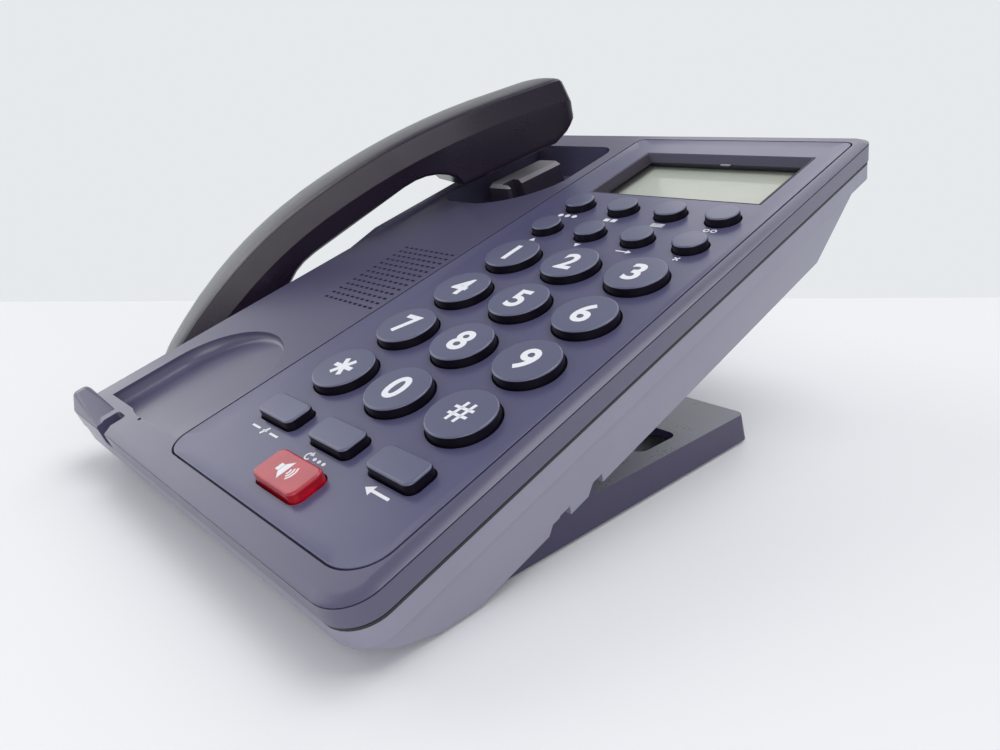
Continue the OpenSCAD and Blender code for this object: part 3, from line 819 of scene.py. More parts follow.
@dataclass
class Mouldings:
    """The large mouldings: CAD shapes with the small edge radii of real mouldings.

    Attributes:
        face: The key face.
        edge: Radius of an ordinary moulded edge.
        fine_edge: Radius of a thin part's edge.
        corner: Radius of the stand's rear corners.
        rim_depth: Height of the lower shell's rim that is painted black as the shadow of the parting gap.
        lip: How far the upper shell's underside takes the same painted shadow above the foot of that rim.
        rim: Where that painted shadow starts, in face coordinates.
    """

    face: KeyFace
    edge: float = 0.45 * MM
    fine_edge: float = 0.25 * MM
    corner: float = 2.4 * MM
    rim_depth: float = 2.4 * MM
    lip: float = 1.7 * MM
    rim: float = field(init=False)

    def __post_init__(self) -> None:
        """Measure the rim."""
        self.rim = self.face.box("lower_shell")[1].z - self.rim_depth

    def listed(self) -> list[Moulding]:
        """List every moulding.

        Painted shade falls on the underside of the upper shell's edge and on the lower shell's rim, as the
        black shadow of the parting gap, on the sides of the stand and of the hook, and on the surround's wall
        that faces right.

        Returns:
            The mouldings.
        """
        edge, fine = self.edge, self.fine_edge
        return [
            Moulding("upper_shell", "case_plastic", Finish.CASE, edge, shade=Finish.BLACK,
                     dark=lambda at, normal: at.z < self.rim + self.lip and normal.z < -0.15),
            Moulding("lower_shell", "under_plastic", Finish.UNDER_AND_SHEEN, fine, shade=Finish.BLACK,
                     dark=lambda at, normal: at.z > self.rim),
            Moulding("key_panel", "panel_plastic", Finish.PANEL, fine),
            # The stand's level faces take painted light, its upright sides painted shade.
            Moulding("tilt_stand", "stand_plastic", Finish.STAND, edge, shade=Finish.STAND_SIDE_SHADE,
                     dark=lambda at, normal: abs(normal.z) < 0.5),
            # The surround is painted darker as shade; its wall that faces right takes deeper painted shade.
            Moulding("display_bezel", "surround_plastic", Finish.SURROUND_SHADE, fine, shade=Finish.SHADE,
                     dark=lambda at, normal: normal.x > 0.3),
            Moulding("front_foot", "rubber", Finish.RUBBER, edge),
            Moulding("stand_feet", "rubber", Finish.RUBBER, edge),
            # The hook lever's top takes the painted highlight, its sides painted shade.
            Moulding("hook_lever", "case_plastic", Finish.HOOK, edge, "hook", shade=Finish.SHADE,
                     dark=lambda at, normal: normal.z < 0.5),
            Moulding("handset_back", "handset_plastic", Finish.HANDSET, fine, "handset"),
            Moulding("handset_front", "handset_plastic", Finish.HANDSET, fine, "handset"),
        ]

    def build(self) -> None:
        """Make every moulding."""
        for part in self.listed():
            piece = Workpiece.copy_of(part.node, f"{part.node}_moulding")
            if part.node == "tilt_stand":
                self.round_rear(piece)
            piece.soften(part.edge)
            # Cut an edge where the painted shadow of the parting gap starts.
            if part.node == "lower_shell":
                piece.score(self.face.turn, self.rim)
            piece.paint(lambda made: int(part.dark(*self.face.seen(made))))
            piece.finish(part.body, part.slot, [part.finish, part.shade or part.finish], [part.node])

    def round_rear(self, piece: Workpiece) -> None:
        """Round the two upright rear corners of the stand.

        Args:
            piece: The stand.
        """
        _, high = corners(v.co for v in piece.bm.verts)
        side, rear = high.x - 100 * piece.SEAM, high.y - 2 * self.corner
        upright = [e for e in piece.sharp_edges(piece.SQUARE)
                   if abs(e.verts[0].co.z - e.verts[1].co.z) > self.corner
                   and all(abs(v.co.x) > side and v.co.y > rear for v in e.verts)]
        piece.bevel(upright, self.corner, segments=8).merge_flat()


@dataclass
class PocketFillet:
    """Hollow rounding at the foot of the wall of the pocket for the mouth end.

    Attributes:
        face: The key face.
        middle: Middle of the pocket's round end, from the upper shell's lowest corner.
        wall: Radius of the round end.
        straight: Length of the straight wall in front of it.
        radius: Radius of the rounding.
        facets: Faces across the rounding.
        share: Most that it takes of the wall's height.
        sweep: How far it follows the round end, in degrees.
        steps: Faces along the round end.
        beyond: Where the deck is measured behind the round end, as a share of its radius.
    """

    face: KeyFace
    middle: Pair = (31.2 * MM, 30.8 * MM)
    wall: float = 21.9 * MM
    straight: float = 20.8 * MM
    radius: float = 3.6 * MM
    facets: int = 6
    share: float = 0.8
    sweep: float = 150.0
    steps: int = 30
    beyond: float = 1.2

    def build(self) -> None:
        """Spin the rounding, draw it out along the straight wall and lay it on the sloping floor."""
        low, _ = self.face.box("upper_shell")
        centre = Vector((low.x + self.middle[0], low.y + self.middle[1], 0.0))
        piece = Workpiece("pocket_fillet")
        arc = [math.radians(90.0 * step / self.facets) for step in range(self.facets + 1)]
        section = [(1 - math.cos(angle), 1 - math.sin(angle)) for angle in arc]
        spots = [piece.bm.verts.new((self.radius * x - self.wall, 0.0, self.radius * z))
                 for x, z in [*section, (0.0, 0.0)]]
        edges = [piece.bm.edges.new(pair) for pair in zip(spots, [*spots[1:], spots[0]])]
        drawn = bmesh.ops.extrude_edge_only(piece.bm, edges=edges)
        bmesh.ops.translate(piece.bm, verts=verts_of(drawn["geom"]), vec=(0.0, -self.straight, 0.0))
        bmesh.ops.spin(piece.bm, geom=[*spots, *edges], cent=(0, 0, 0), axis=(0, 0, -1),
                       angle=math.radians(self.sweep), steps=self.steps)
        bmesh.ops.holes_fill(piece.bm, edges=[e for e in piece.bm.edges if e.is_boundary], sides=0)
        self.fit(piece, centre)
        piece.outward().move(self.face.turn @ Matrix.Translation(centre))
        piece.finish("base", "case_plastic", [Finish.CASE])

    def fit(self, piece: Workpiece, centre: Vector) -> None:
        """Let the rounding shrink with the wall and follow the floor.

        Args:
            piece: The rounding on a level floor, round its own middle.
            centre: Where that middle lies in face coordinates.
        """
        reach = self.wall / 2
        left, right = (self.face.height("upper_shell", centre.x + x, centre.y) for x in (-reach, reach))
        deck = self.face.height("upper_shell", centre.x, centre.y + self.beyond * self.wall)
        for vertex in piece.bm.verts:
            spot = vertex.co
            foot = spot.copy()
            foot.xy = spot.xy.normalized() * self.wall if spot.y > 0 else Vector((-self.wall, spot.y))
            floor = (left + right) / 2 + (right - left) * foot.x / (2 * reach)
            size = min(1.0, self.share * max(deck - floor, 0.0) / self.radius)
            spot.xy = foot.xy + (spot.xy - foot.xy) * size
            spot.z = floor + (right - left) * (spot.x - foot.x) / (2 * reach) + size * spot.z


@dataclass
class CornerHorn:
    """Rounded skin of the horn that the front left corner of the upper case runs up to.

    Its places are measured from the upper shell's lowest corner.

    Attributes:
        face: The key face.
        tip_x: Places across of the balls that round its tip.
        tip_y: Their places along.
        tip_z: Height of their middles.
        ball: Radius of the balls.
        plan: Length and width of its foot.
        rounding: Radii of the foot's two corners at the left edge.
        foot: Height of its foot.
        end: Height of its far end.
        chamfer: How far the far end steps back in front.
    """

    face: KeyFace
    tip_x: Pair = (2.2 * MM, 3.4 * MM)
    tip_y: Pair = (3.6 * MM, 5.1 * MM)
    tip_z: float = 19.0 * MM
    ball: float = 1.95 * MM
    plan: Pair = (21.65 * MM, 6.8 * MM)
    rounding: Pair = (2.5 * MM, 1.0 * MM)
    foot: float = 16.3 * MM
    end: float = 16.95 * MM
    chamfer: float = 0.5 * MM

    def build(self) -> None:
        """Stretch a skin over the foot and the balls."""
        low, _ = self.face.box("upper_shell")
        piece = Workpiece("corner_horn")
        for spot in [(x, y, self.tip_z) for x in self.tip_x for y in self.tip_y]:
            bmesh.ops.create_uvsphere(piece.bm, u_segments=32, v_segments=16, radius=self.ball,
                                      matrix=Matrix.Translation(spot))
        length, width = self.plan
        front, back = self.rounding
        for radius, y in ((front, front), (back, width - back)):
            bmesh.ops.create_circle(piece.bm, segments=48, radius=radius,
                                    matrix=Matrix.Translation((radius, y, self.foot)))
        for y in (0.0, width):
            piece.bm.verts.new((length, y, self.foot))
            piece.bm.verts.new((length, max(y, self.chamfer), self.end))
        bmesh.ops.delete(piece.bm, geom=list(piece.bm.edges), context="EDGES_FACES")
        made = bmesh.ops.convex_hull(piece.bm, input=list(piece.bm.verts))
        spare = verts_of([*made["geom_interior"], *made["geom_unused"]])
        bmesh.ops.delete(piece.bm, geom=spare, context="VERTS")
        piece.outward().move(self.face.turn @ Matrix.Translation(low))
        piece.finish("base", "case_plastic", [Finish.CASE])


class Mark(Enum):
    """Plain printed signs, by name."""

    UP = "up"
    DOWN = "down"
    FORWARD = "forward"
    BACK = "back"
    CROSS = "cross"
    DOTS = "dots"
    BARS = "bars"
    RINGS = "rings"
    BLOCKS = "blocks"
    BOLT = "bolt"
    TURN = "turn"
    STAR = "star"
    HASH = "hash"
    SPEAKER = "speaker"


@dataclass(frozen=True)
class PrintPlace:
    """Where a sign is printed.

    Attributes:
        name: Name of the piece.
        centre: Its middle, in face coordinates.
        height: Height of the sign.
        body: CAD body that it moves with.
    """

    name: str
    centre: Vector
    height: float
    body: str


@dataclass
class Printer:
    """Prints digits and signs as thin flat pieces on a surface of the key face.

    Attributes:
        face: The key face.
        ink_height: Height of the ink over its surface.
        bold: Extra stroke width of a digit.
    """

    face: KeyFace
    ink_height: float = 0.05 * MM
    bold: float = 0.22 * MM

    def settle(self, piece: Workpiece, place: PrintPlace) -> None:
        """Scale a flat sign to its height, thicken it and lay it on the surface.

        Args:
            piece: The sign, flat in its own xy plane.
            place: Where it goes.
        """
        low, high = corners(vertex.co for vertex in piece.bm.verts)
        piece.move(Matrix.Translation(place.centre) @ Matrix.Scale(place.height / (high.y - low.y), 4)
                   @ Matrix.Translation((low + high) / -2))
        piece.thicken(self.ink_height).outward().move(self.face.turn)
        slot = "panel_plastic" if place.body == "base" else "key_plastic"
        piece.finish(place.body, slot, [Finish.INK], crease=30.0)

    def digit(self, letter: str, place: PrintPlace) -> None:
        """Print one character.

        Args:
            letter: The character.
            place: Where it goes.
        """
        curve = bpy.data.curves.new(place.name, "FONT")
        curve.body = letter
        curve.size = place.height
        curve.offset = self.bold
        curve.resolution_u = 5
        holder = add_object(place.name, curve)
        bpy.context.view_layer.update()
        flat = bpy.data.meshes.new_from_object(holder.evaluated_get(bpy.context.evaluated_depsgraph_get()))
        bpy.data.objects.remove(holder)
        piece = Workpiece(place.name)
        piece.bm.from_mesh(flat)
        bmesh.ops.remove_doubles(piece.bm, verts=piece.bm.verts, dist=piece.SEAM)
        self.settle(piece, place)

    def sign(self, mark: Mark, place: PrintPlace) -> None:
        """Print one sign.

        Args:
            mark: Which sign.
            place: Where it goes.
        """
        piece = Workpiece(place.name)
        SignShapes(piece.bm).draw(mark)
        self.settle(piece, place)


@dataclass
class SignShapes:
    """Flat outlines of the printed signs, about one unit across.

    Attributes:
        bm: Mesh that the outlines are drawn in.
    """

    bm: bmesh.types.BMesh

    def draw(self, mark: Mark) -> None:
        """Draw one sign."""
        {
            Mark.UP: lambda: self.wedge(90.0, radius=0.6),
            Mark.DOWN: lambda: self.wedge(270.0, radius=0.6),
            Mark.FORWARD: lambda: self.arrow(1.0),
            Mark.BACK: lambda: self.arrow(-1.0),
            Mark.CROSS: self.cross,
            Mark.DOTS: lambda: self.row(3, 1.0, lambda at: self.disc(0.33, at=at)),
            Mark.BARS: self.bars,
            Mark.RINGS: lambda: self.row(2, 1.2, lambda at: self.arc(0.5, 0.2, 0.0, 360.0, at)),
            Mark.BLOCKS: lambda: self.row(2, 1.2, lambda at: self.bar(at, (0.85, 0.85))),
            Mark.BOLT: self.bolt,
            Mark.TURN: self.turn,
            Mark.STAR: self.star,
            Mark.HASH: self.hash,
            Mark.SPEAKER: self.speaker,
        }[mark]()

    @staticmethod
    def row(count: int, pitch: float, draw: Callable[[Pair], None]) -> None:
        """Draw a shape several times side by side.

        Args:
            count: How many.
            pitch: Their spacing.
            draw: Draws one at a place.
        """
        for number in range(count):
            draw(((number - (count - 1) / 2) * pitch, 0.0))

    def disc(self, radius: float, segments: int = 32, turn: float = 0.0, at: Pair = (0.0, 0.0)) -> None:
        """A filled round or regular outline.

        Args:
            radius: Distance of its corners.
            segments: How many corners it has.
            turn: Turn in degrees.
            at: Its middle.
        """
        bmesh.ops.create_circle(self.bm, cap_ends=True, segments=segments, radius=radius,
                                matrix=placed((*at, 0.0), turn))

    def wedge(self, turn: float, at: Pair = (0.0, 0.0), radius: float = 0.5) -> None:
        """A triangle that points along an angle in degrees."""
        self.disc(radius, 3, turn + 30.0, at)

    def bar(self, at: Pair, size: Pair, turn: float = 0.0) -> None:
        """A rectangle.

        Args:
            at: Its middle.
            size: Its width and height.
            turn: Turn in degrees.
        """
        bmesh.ops.create_grid(self.bm, x_segments=1, y_segments=1, size=0.5,
                              matrix=placed((*at, 0.0), turn, (*size, 1.0)))

    def arc(self, radius: float, stroke: float, start: float, sweep: float, at: Pair = (0.0, 0.0)) -> None:
        """A round stroke.

        Args:
            radius: Its outer radius.
            stroke: Its width.
            start: Where it starts, in degrees.
            sweep: How far it goes, in degrees.
            at: Its middle.
        """
        angle = math.radians(start)
        ends = [self.bm.verts.new((at[0] + r * math.cos(angle), at[1] + r * math.sin(angle), 0.0))
                for r in (radius, radius - stroke)]
        edge = self.bm.edges.new(ends)
        bmesh.ops.spin(self.bm, geom=[*ends, edge], cent=(*at, 0.0), axis=(0, 0, 1),
                       angle=math.radians(sweep), steps=max(6, int(sweep / 10)), use_merge=sweep >= 360.0)

    def arrow(self, side: float) -> None:
        """An arrow with a long tail, to the right for side 1 and to the left for side -1."""
        self.bar((-0.45 * side, 0.0), (1.9, 0.26))
        self.wedge(90.0 - 90.0 * side, (0.78 * side, 0.0), 0.56)

    def cross(self) -> None:
        """Two crossed bars."""
        for turn in (45.0, -45.0):
            self.bar((0.0, 0.0), (1.3, 0.28), turn)

    def bars(self) -> None:
        """Three bars one above the other."""
        for line in (-1, 0, 1):
            self.bar((0.0, 0.38 * line), (2.2, 0.2))

    def bolt(self) -> None:
        """A lightning bolt between two bars."""
        for side in (-1.0, 1.0):
            self.bar((1.7 * side, 0.0), (1.5, 0.26))
            self.bar((0.12 * side, 0.25 * side), (0.3, 0.6), -24.0)
        self.bar((0.0, 0.0), (0.66, 0.2))

    def turn(self) -> None:
        """A round arrow and three dots."""
        self.arc(0.5, 0.18, 60.0, 270.0, (-1.3, 0.0))
        self.wedge(-20.0, (-1.09, 0.36), 0.34)
        for number in range(3):
            self.disc(0.22, at=(-0.25 + 0.75 * number, 0.0))

    def star(self, arm: float = 0.2) -> None:
        """A star of six straight arms, drawn out of the sides of a hexagon.

        Args:
            arm: Width of an arm.
        """
        self.disc(arm, 6)
        flat = arm * math.cos(math.radians(30.0))
        for side in list(self.bm.edges):
            outward = sum((v.co for v in side.verts), Vector()).normalized()
            made = bmesh.ops.extrude_edge_only(self.bm, edges=[side])
            bmesh.ops.translate(self.bm, verts=verts_of(made["geom"]), vec=outward * (0.5 - flat))

    def hash(self) -> None:
        """Two leaning bars crossed by two level bars."""
        for side in (-1.0, 1.0):
            self.bar((0.17 * side, 0.0), (0.13, 1.0), -8.0)
            self.bar((0.0, 0.17 * side), (0.86, 0.125))

    def speaker(self) -> None:
        """A loudspeaker with three sound waves."""
        self.bar((-0.40, 0.0), (0.20, 0.34))
        cone = ((-0.27, -0.19, 0.0), (0.04, -0.46, 0.0), (0.04, 0.46, 0.0), (-0.27, 0.19, 0.0))
        self.bm.faces.new([self.bm.verts.new(spot) for spot in cone])
        for radius in (0.22, 0.36, 0.50):
            self.arc(radius, 0.075, -42.0, 84.0, (0.06, 0.0))


@dataclass
class KeyBank:
    """All the keys: round caps made by spinning a section, oblong caps by rounding blocks.

    Attributes:
        face: The key face.
        printer: Prints the digits and signs.
        lip: Reach of the lip that holds a key under the face.
        lip_height: Height of that lip.
        edge: Radius of a round cap's upper edge.
        oblong_edge: Radius of an oblong cap's upper edge.
        oblong_corner: Radius of an oblong cap's upright edges.
        digit: Height of a digit.
        end_sign: Height of the star and the hash.
        speaker_sign: Height of the sign on the red key.
        round_sign: Height of a sign in front of a round key, and how far in front it lies.
        oblong_sign: The same for an oblong key.
    """

    face: KeyFace
    printer: Printer
    lip: float = 1.3 * MM
    lip_height: float = 1.3 * MM
    edge: float = 0.55 * MM
    oblong_edge: float = 0.66 * MM
    oblong_corner: float = 2.1 * MM
    digit: float = 8.6 * MM
    end_sign: float = 6.88 * MM
    speaker_sign: float = 5.4 * MM
    round_sign: Pair = (1.9 * MM, 2.3 * MM)
    oblong_sign: Pair = (2.8 * MM, 2.9 * MM)

    DIGITS = {f"key_{n}": str(n) for n in range(10)}
    END_SIGNS = {"key_star": Mark.STAR, "key_hash": Mark.HASH}
    ROUND_SIGNS = (Mark.DOTS, Mark.BLOCKS, Mark.BARS, Mark.RINGS,
                   Mark.UP, Mark.DOWN, Mark.FORWARD, Mark.CROSS)
    OBLONG_SIGNS = {"flash_key": Mark.BOLT, "redial_key": Mark.TURN, "back_key": Mark.BACK}

    def build(self) -> None:
        """Make every key with its print."""
        for node, letter in self.DIGITS.items():
            self.round_cap(node)
            self.printer.digit(letter, self.on_cap(node, self.digit))
        for node, mark in self.END_SIGNS.items():
            self.round_cap(node)
            self.printer.sign(mark, self.on_cap(node, self.end_sign))
        for number, mark in enumerate(self.ROUND_SIGNS, 1):
            node = f"round_key_{number}"
            self.round_cap(node)
            self.printer.sign(mark, self.in_front(node, self.round_sign))
        for node, mark in self.OBLONG_SIGNS.items():
            self.oblong_cap(node, [Finish.KEY_TOP_LIT, Finish.KEY_SIDE_SHADE], "key_plastic")
            self.printer.sign(mark, self.in_front(node, self.oblong_sign))
        self.oblong_cap("speaker_key", [Finish.RED, Finish.RED_SIDE_GLOW], "red_plastic")
        self.printer.sign(Mark.SPEAKER, self.on_cap("speaker_key", self.speaker_sign))

    def on_cap(self, node: str, height: float) -> PrintPlace:
        """Place of a sign of a given height on a key's cap."""
        return PrintPlace(f"{node}_print", self.face.top(node), height, node)

    def in_front(self, node: str, sign: Pair) -> PrintPlace:
        """Place of a sign on the panel in front of a key.

        Args:
            node: The key's CAD node.
            sign: Height of the sign, and distance of its middle from the cap.

        Returns:
            The place.
        """
        height, gap = sign
        low, _ = self.face.box(node)
        x, y = self.face.top(node).x, low.y + self.lip - gap
        spot = Vector((x, y, self.face.height("key_panel", x, y)))
        return PrintPlace(f"{node}_sign", spot, height, "base")

    @staticmethod
    def is_side(face: bmesh.types.BMFace) -> int:
        """Number of the finish: 0 on the upper side of a cap, 1 on its sides; the two are copies of one
        plastic that differ by painted light and shade.
        """
        return int(face.normal.z <= 0.5)

    @staticmethod
    def round_rim(piece: Workpiece, radius: float) -> None:
        """Round the edge of a cap's upper side.

        Args:
            piece: The cap.
            radius: Radius of the edge.
        """
        top = max(v.co.z for v in piece.bm.verts) - 10 * piece.SEAM
        rim = [e for e in piece.sharp_edges(piece.SQUARE) if min(v.co.z for v in e.verts) > top]
        piece.bevel(rim, radius, segments=4)

    def round_cap(self, node: str) -> None:
        """Spin one round key.

        Args:
            node: The key's CAD node, which is also its body.
        """
        low, high = self.face.box(node)
        centre = self.face.top(node)
        radius = (high.x - low.x) / 2 - self.lip
        piece = Workpiece(f"{node}_cap")
        lip_top = low.z + self.lip_height
        section = [(0.0, high.z), (radius, high.z), (radius, lip_top), (radius + self.lip, lip_top),
                   (radius + self.lip, low.z), (0.0, low.z)]
        spots = [piece.bm.verts.new((x, 0.0, z)) for x, z in section]
        edges = [piece.bm.edges.new(pair) for pair in zip(spots, spots[1:])]
        bmesh.ops.spin(piece.bm, geom=[*spots, *edges], cent=(0, 0, 0), axis=(0, 0, 1), angle=math.tau,
                       steps=72, use_merge=True)
        self.round_rim(piece.outward(), self.edge)
        piece.paint(self.is_side).move(self.face.turn @ Matrix.Translation((centre.x, centre.y, 0.0)))
        piece.finish(node, "key_plastic", [Finish.KEY_TOP_LIT, Finish.KEY_SIDE_SHADE], [node])

    def oblong_cap(self, node: str, finishes: Sequence[Finish], slot: str) -> None:
        """Round one oblong key out of two blocks.

        Args:
            node: The key's CAD node, which is also its body.
            finishes: Finish of its upper side and of its sides, copies of one plastic that differ by painted
                light and shade.
            slot: Material slot of the record.
        """
        low, high = self.face.box(node)
        piece = Workpiece(f"{node}_cap")
        inset = Vector((self.lip, self.lip, 0.0))
        rise = Vector((0.0, 0.0, self.lip_height))
        self.block(piece, low + inset + rise, high - inset, self.oblong_corner)
        self.round_rim(piece, self.oblong_edge)
        self.block(piece, low, Vector((high.x, high.y, low.z)) + rise, self.oblong_corner + self.lip)
        piece.paint(self.is_side).move(self.face.turn)
        piece.finish(node, slot, finishes, [node])

    @staticmethod
    def block(piece: Workpiece, low: Vector, high: Vector, corner: float) -> None:
        """Add a block with round upright edges.

        Args:
            piece: Mesh to add it to.
            low: Its lowest corner.
            high: Its highest corner.
            corner: Radius of its upright edges.
        """
        size = high - low
        made = bmesh.ops.create_cube(piece.bm, size=1.0, matrix=placed((low + high) / 2, size=size))
        upright = [e for v in made["verts"] for e in v.link_edges
                   if abs(e.verts[0].co.z - e.verts[1].co.z) > size.z / 2]
        piece.bevel(dict.fromkeys(upright), corner, segments=6)


@dataclass
class DisplayUnit:
    """Black gasket round the window, black edge print of the display, which also stands in for painted shade
    at the gasket's foot, and the catch behind it.

    Attributes:
        face: The key face.
        gasket: Outer width and length of the gasket at its top.
        gasket_width: Width of the gasket.
        gasket_height: Height of the gasket over the window.
        seen: Width and length of the display inside its edge print.
        print_width: Width of the edge print.
        print_height: Height of the edge print over the window.
        catch: Width, length and height of the catch.
        catch_edge: Radius of its edges.
        catch_shift: How far it lies to the right of the middle.
    """

    face: KeyFace
    gasket: Pair = (58.6 * MM, 31.6 * MM)
    gasket_width: float = 0.9 * MM
    gasket_height: float = 1.1 * MM
    seen: Pair = (53.2 * MM, 28.6 * MM)
    print_width: float = 2.0 * MM
    print_height: float = 0.05 * MM
    catch: Triple = (3.6 * MM, 0.9 * MM, 0.7 * MM)
    catch_edge: float = 0.2 * MM
    catch_shift: float = 1.5 * MM

    def build(self) -> None:
        """Make the gasket, the edge print and the catch."""
        centre = self.face.top("display_window")
        self.ring("display_gasket", centre, self.gasket, self.gasket_width, self.gasket_height)
        outer = tuple(side + 2 * self.print_width for side in self.seen)
        # The edge print is partly painted shade at the foot of the gasket.
        self.ring("display_edge_print_and_shade", centre, outer, self.print_width, self.print_height)
        piece = Workpiece("display_catch")
        back = (self.gasket[1] - self.gasket_width) / 2
        spot = centre + Vector((self.catch_shift, back, self.gasket_height))
        bmesh.ops.create_cube(piece.bm, size=1.0, matrix=placed(spot, size=self.catch))
        piece.soften(self.catch_edge, segments=3).move(self.face.turn)
        # The catch's pale grey is a painted highlight.
        piece.finish("base", "surround_plastic", [Finish.HOOK])

    def ring(self, name: str, centre: Vector, outer: Sequence[float], width: float, height: float) -> None:
        """Make a flat black frame that stands on the window.

        Args:
            name: Name of the piece.
            centre: Middle of its foot, in face coordinates.
            outer: Its outer width and length.
            width: Width of the frame.
            height: Height of the frame.
        """
        piece = Workpiece(name)
        bmesh.ops.create_grid(piece.bm, x_segments=1, y_segments=1, size=0.5,
                              matrix=placed(centre, size=(*outer, 1.0)))
        rim = bmesh.ops.inset_region(piece.bm, faces=list(piece.bm.faces), thickness=width, use_boundary=True,
                                     use_even_offset=True)
        bmesh.ops.delete(piece.bm, geom=[f for f in piece.bm.faces if f not in rim["faces"]], context="FACES")
        piece.thicken(height).outward().move(self.face.turn)
        piece.finish("base", "black_plastic", [Finish.BLACK])


@dataclass
class SocketContacts:
    """Sprung gold wires in the two cord sockets of the case.

    Attributes:
        face: The key face, whose axes the sockets share.
        radius: Radius of a wire.
        length: Length of a wire.
        count: How many wires a socket has.
        pitch: Spacing of the wires.
        slope: Angle of a wire to its socket, in degrees.
        inset: Distance of a wire's middle from the socket's mouth.
        rise: Height of a wire's middle over the socket's.
        SOCKETS: Turn of each socket's mouth from the rear, in degrees.
    """

    face: KeyFace
    radius: float = 0.22 * MM
    length: float = 6.4 * MM
    count: int = 4
    pitch: float = 1.1 * MM
    slope: float = 24.0
    inset: float = 5.2 * MM
    rise: float = 1.2 * MM

    SOCKETS = {"line_jack": 0.0, "handset_cord_jack": 90.0}

    def build(self) -> None:
        """Make the wires of both sockets."""
        for node, heading in self.SOCKETS.items():
            low, high = self.face.box(node)
            depth = (high.y - low.y if heading == 0.0 else high.x - low.x) / 2
            socket = placed((low + high) / 2, heading)
            lean = Matrix.Rotation(math.radians(90.0 - self.slope), 4, "X")
            piece = Workpiece(f"{node}_contacts")
            for number in range(self.count):
                across = (number - (self.count - 1) / 2) * self.pitch
                spot = Matrix.Translation((across, depth - self.inset, self.rise))
                bmesh.ops.create_cone(piece.bm, cap_ends=True, segments=10, radius1=self.radius,
                                      radius2=self.radius, depth=self.length, matrix=socket @ spot @ lean)
            piece.move(self.face.turn)
            piece.finish("base", "steel", [Finish.GOLD])


@dataclass
class ScrewCrossShade:
    """Dark crosses laid on the heads of the case screws: painted shade standing in for their cross recesses.

    Attributes:
        face: The key face, whose axes the screws share.
        arm: Length of an arm across the head.
        width: Width of an arm.
        height: How far the dark bars stand over the head.
    """

    face: KeyFace
    arm: float = 3.0 * MM
    width: float = 0.62 * MM
    height: float = 0.03 * MM

    def build(self) -> None:
        """Make one piece with the crosses of all the case screws."""
        piece = Workpiece("case_screw_cross_shade")
        bar = (self.arm, self.width, 2 * self.height)
        for head in self.heads("case_screws"):
            for turn in (0.0, 90.0):
                bmesh.ops.create_cube(piece.bm, size=1.0, matrix=placed(head, turn, bar))
        piece.move(self.face.turn)
        piece.finish("base", "black_plastic", [Finish.BLACK])

    def heads(self, node: str) -> list[Vector]:
        """Middle of each screw's lower end, in face coordinates.

        Args:
            node: Node that holds the screws as separate solids.

        Returns:
            One point for each screw.
        """
        shape = self.face.shape(node)
        bmesh.ops.remove_doubles(shape, verts=shape.verts, dist=2 * Workpiece.SEAM)
        waiting, found = set(shape.verts), []
        while waiting:
            screw, reached = [], [waiting.pop()]
            while reached:
                vertex = reached.pop()
                screw.append(vertex.co)
                near = {e.other_vert(vertex) for e in vertex.link_edges} & waiting
                waiting -= near
                reached.extend(near)
            low, high = corners(screw)
            found.append(Vector(((low.x + high.x) / 2, (low.y + high.y) / 2, low.z)))
        shape.free()
        return found


class Innards:
    """CAD nodes that keep their shape and only take a finish."""

    DRESS = {
        Finish.CLEAR: ("display_window",),
        Finish.CRYSTAL: ("display_glass",),
        Finish.BLACK: ("line_jack", "handset_cord_jack", "handset_jack", "hook_switch", "loudspeaker",
                       "receiver_capsule"),
        Finish.RUBBER: ("key_mat",),
        Finish.RED: ("speaker_lamp",),
        Finish.BOARD: ("main_board",),
        Finish.STEEL: ("case_screws", "board_screws", "handset_screws", "hands_free_microphone",
                       "microphone_capsule", "handset_weight"),
    }

    def dress(self) -> None:
        """Give every kept node its finish."""
        for finish, nodes in self.DRESS.items():
            for node in nodes:
                materials = frame["nodes"][node].data.materials
                materials.clear()
                materials.append(finish.material())
                log.info("%s: %s", node, finish.name.lower())


@dataclass(frozen=True)
class Softbox:
    """A soft lamp.

    Attributes:
        name: Name of the lamp.
        place: Where it hangs.
        size: Its width and height.
        power: Its power in watts.
        target: What it points at.
    """

    name: str
    place: Triple
    size: Pair
    power: float
    target: Triple = (0.0, 0.08, 0.03)

    def hang(self) -> None:
        """Add the lamp to the scene."""
        light = bpy.data.lights.new(self.name, "AREA")
        light.shape = "RECTANGLE"
        light.size, light.size_y = self.size
        light.energy = self.power
        lamp = add_object(self.name, light)
        lamp.location = self.place
        lamp.rotation_euler = (Vector(self.target) - Vector(self.place)).to_track_quat("-Z", "Y").to_euler()


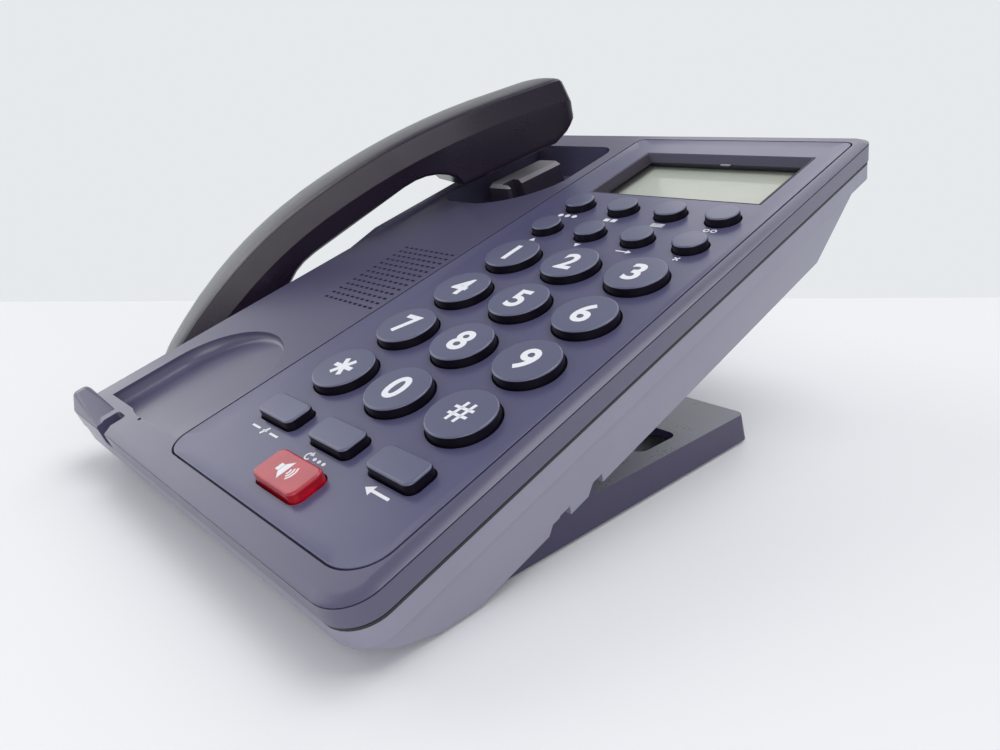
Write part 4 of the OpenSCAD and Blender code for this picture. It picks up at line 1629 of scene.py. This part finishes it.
@dataclass
class Studio:
    """Pale table in a pale room under soft lamps.

    Attributes:
        floor_colour: Colour of the table.
        wall_colour: Colour of the room near the horizon.
        ceiling_colour: Colour of the room overhead.
        reach: Half the table's width.
        far_edge: Distance from the camera to the table's far edge, along the floor.
    """

    floor_colour: Colour = (0.88, 0.885, 0.895)
    wall_colour: Colour = (0.79, 0.82, 0.84)
    ceiling_colour: Colour = (0.40, 0.41, 0.44)
    reach: float = 3.0
    far_edge: float = 0.411

    LAMPS = (
        Softbox("overhead_softbox", (0.4, 0.52, 2.2), (1.6, 1.6), 21.0, (0.0, 0.08, 0.0)),
        Softbox("left_softbox", (-1.8, -0.58, 1.17), (1.8, 1.4), 10.8),
        Softbox("rear_softbox", (-0.6, 1.62, 1.41), (1.2, 1.0), 3.8),
        Softbox("front_softbox", (1.4, -1.28, 0.97), (1.4, 1.4), 12.0),
    )

    def build(self, camera: "PhotoCamera") -> None:
        """Make the table, the room and the lamps.

        Args:
            camera: Camera that sets the table's far edge.
        """
        self.table(camera)
        self.room()
        for lamp in self.LAMPS:
            lamp.hang()

    def table(self, camera: "PhotoCamera") -> None:
        """Make the table top.

        Args:
            camera: Camera that sets its far edge.
        """
        recipe = Recipe.material("table_white")
        cloud = recipe.speckle(0.3)
        material = recipe.principled({
            "Base Color": recipe.mottled(self.floor_colour, 0.985, 1.0, cloud),
            "Roughness": 0.5,
            "Specular IOR Level": 0.3,
        })
        piece = Workpiece("table_top")
        foot = (camera.position[0], camera.position[1], 0.0)
        plan = placed(foot, camera.heading - 90) @ Matrix.Translation((0.0, self.far_edge - self.reach, 0.0))
        bmesh.ops.create_grid(piece.bm, x_segments=1, y_segments=1, size=self.reach, matrix=plan)
        table = piece.as_object([material])

    def room(self) -> None:
        """Fill the world with the room's colours."""
        world = bpy.data.worlds.new("room")
        bpy.context.scene.world = world
        recipe = Recipe(world)
        direction = recipe.node("ShaderNodeTexCoord", output="Generated")
        height = recipe.node("ShaderNodeSeparateXYZ", inputs={0: direction}, output=2)
        stops = [(0.5, self.wall_colour), (0.6, self.wall_colour), (0.74, self.ceiling_colour)]
        colour = recipe.node("ShaderNodeValToRGB", {"stops": stops}, {0: 0.5 + 0.5 * height})
        shader = recipe.node("ShaderNodeBackground", inputs={"Color": colour, "Strength": 1.0})
        recipe.node("ShaderNodeOutputWorld", inputs={"Surface": shader})

@dataclass
class PhotoCamera:
    """Camera at the photograph's viewpoint.

    Attributes:
        position: Where it stands.
        heading: Direction of view over the floor, in degrees from +X.
        pitch: Rise of the view, in degrees.
        roll: Turn about the view, in degrees.
        lens: Focal length in millimetres on a 36 mm wide frame.
    """

    position: Triple = (0.16057, -0.08162, 0.09477)
    heading: float = 135.22
    pitch: float = -18.81
    roll: float = -0.245
    lens: float = 26.6

    def build(self) -> None:
        """Make the camera the scene's own."""
        data = bpy.data.cameras.new("photo_camera")
        data.lens = self.lens
        data.sensor_width = 36.0
        data.clip_start = 0.01
        camera = add_object("photo_camera", data)
        camera.matrix_world = (Matrix.Translation(self.position)
                               @ Matrix.Rotation(math.radians(self.heading - 90), 4, "Z")
                               @ Matrix.Rotation(math.radians(90 + self.pitch), 4, "X")
                               @ Matrix.Rotation(math.radians(self.roll), 4, "Z"))
        bpy.context.scene.camera = camera


def main() -> None:
    """Build the telephone, its studio and the camera."""
    logging.basicConfig(level=logging.INFO, format="%(name)s: %(message)s")
    bpy.context.scene.view_settings.view_transform = "Standard"
    face = KeyFace("key_5_press")
    Mouldings(face).build()
    PocketFillet(face).build()
    CornerHorn(face).build()
    KeyBank(face, Printer(face)).build()
    DisplayUnit(face).build()
    SocketContacts(face).build()
    ScrewCrossShade(face).build()
    Innards().dress()
    camera = PhotoCamera()
    camera.build()
    Studio().build(camera)


if __name__ == "__main__":
    main()
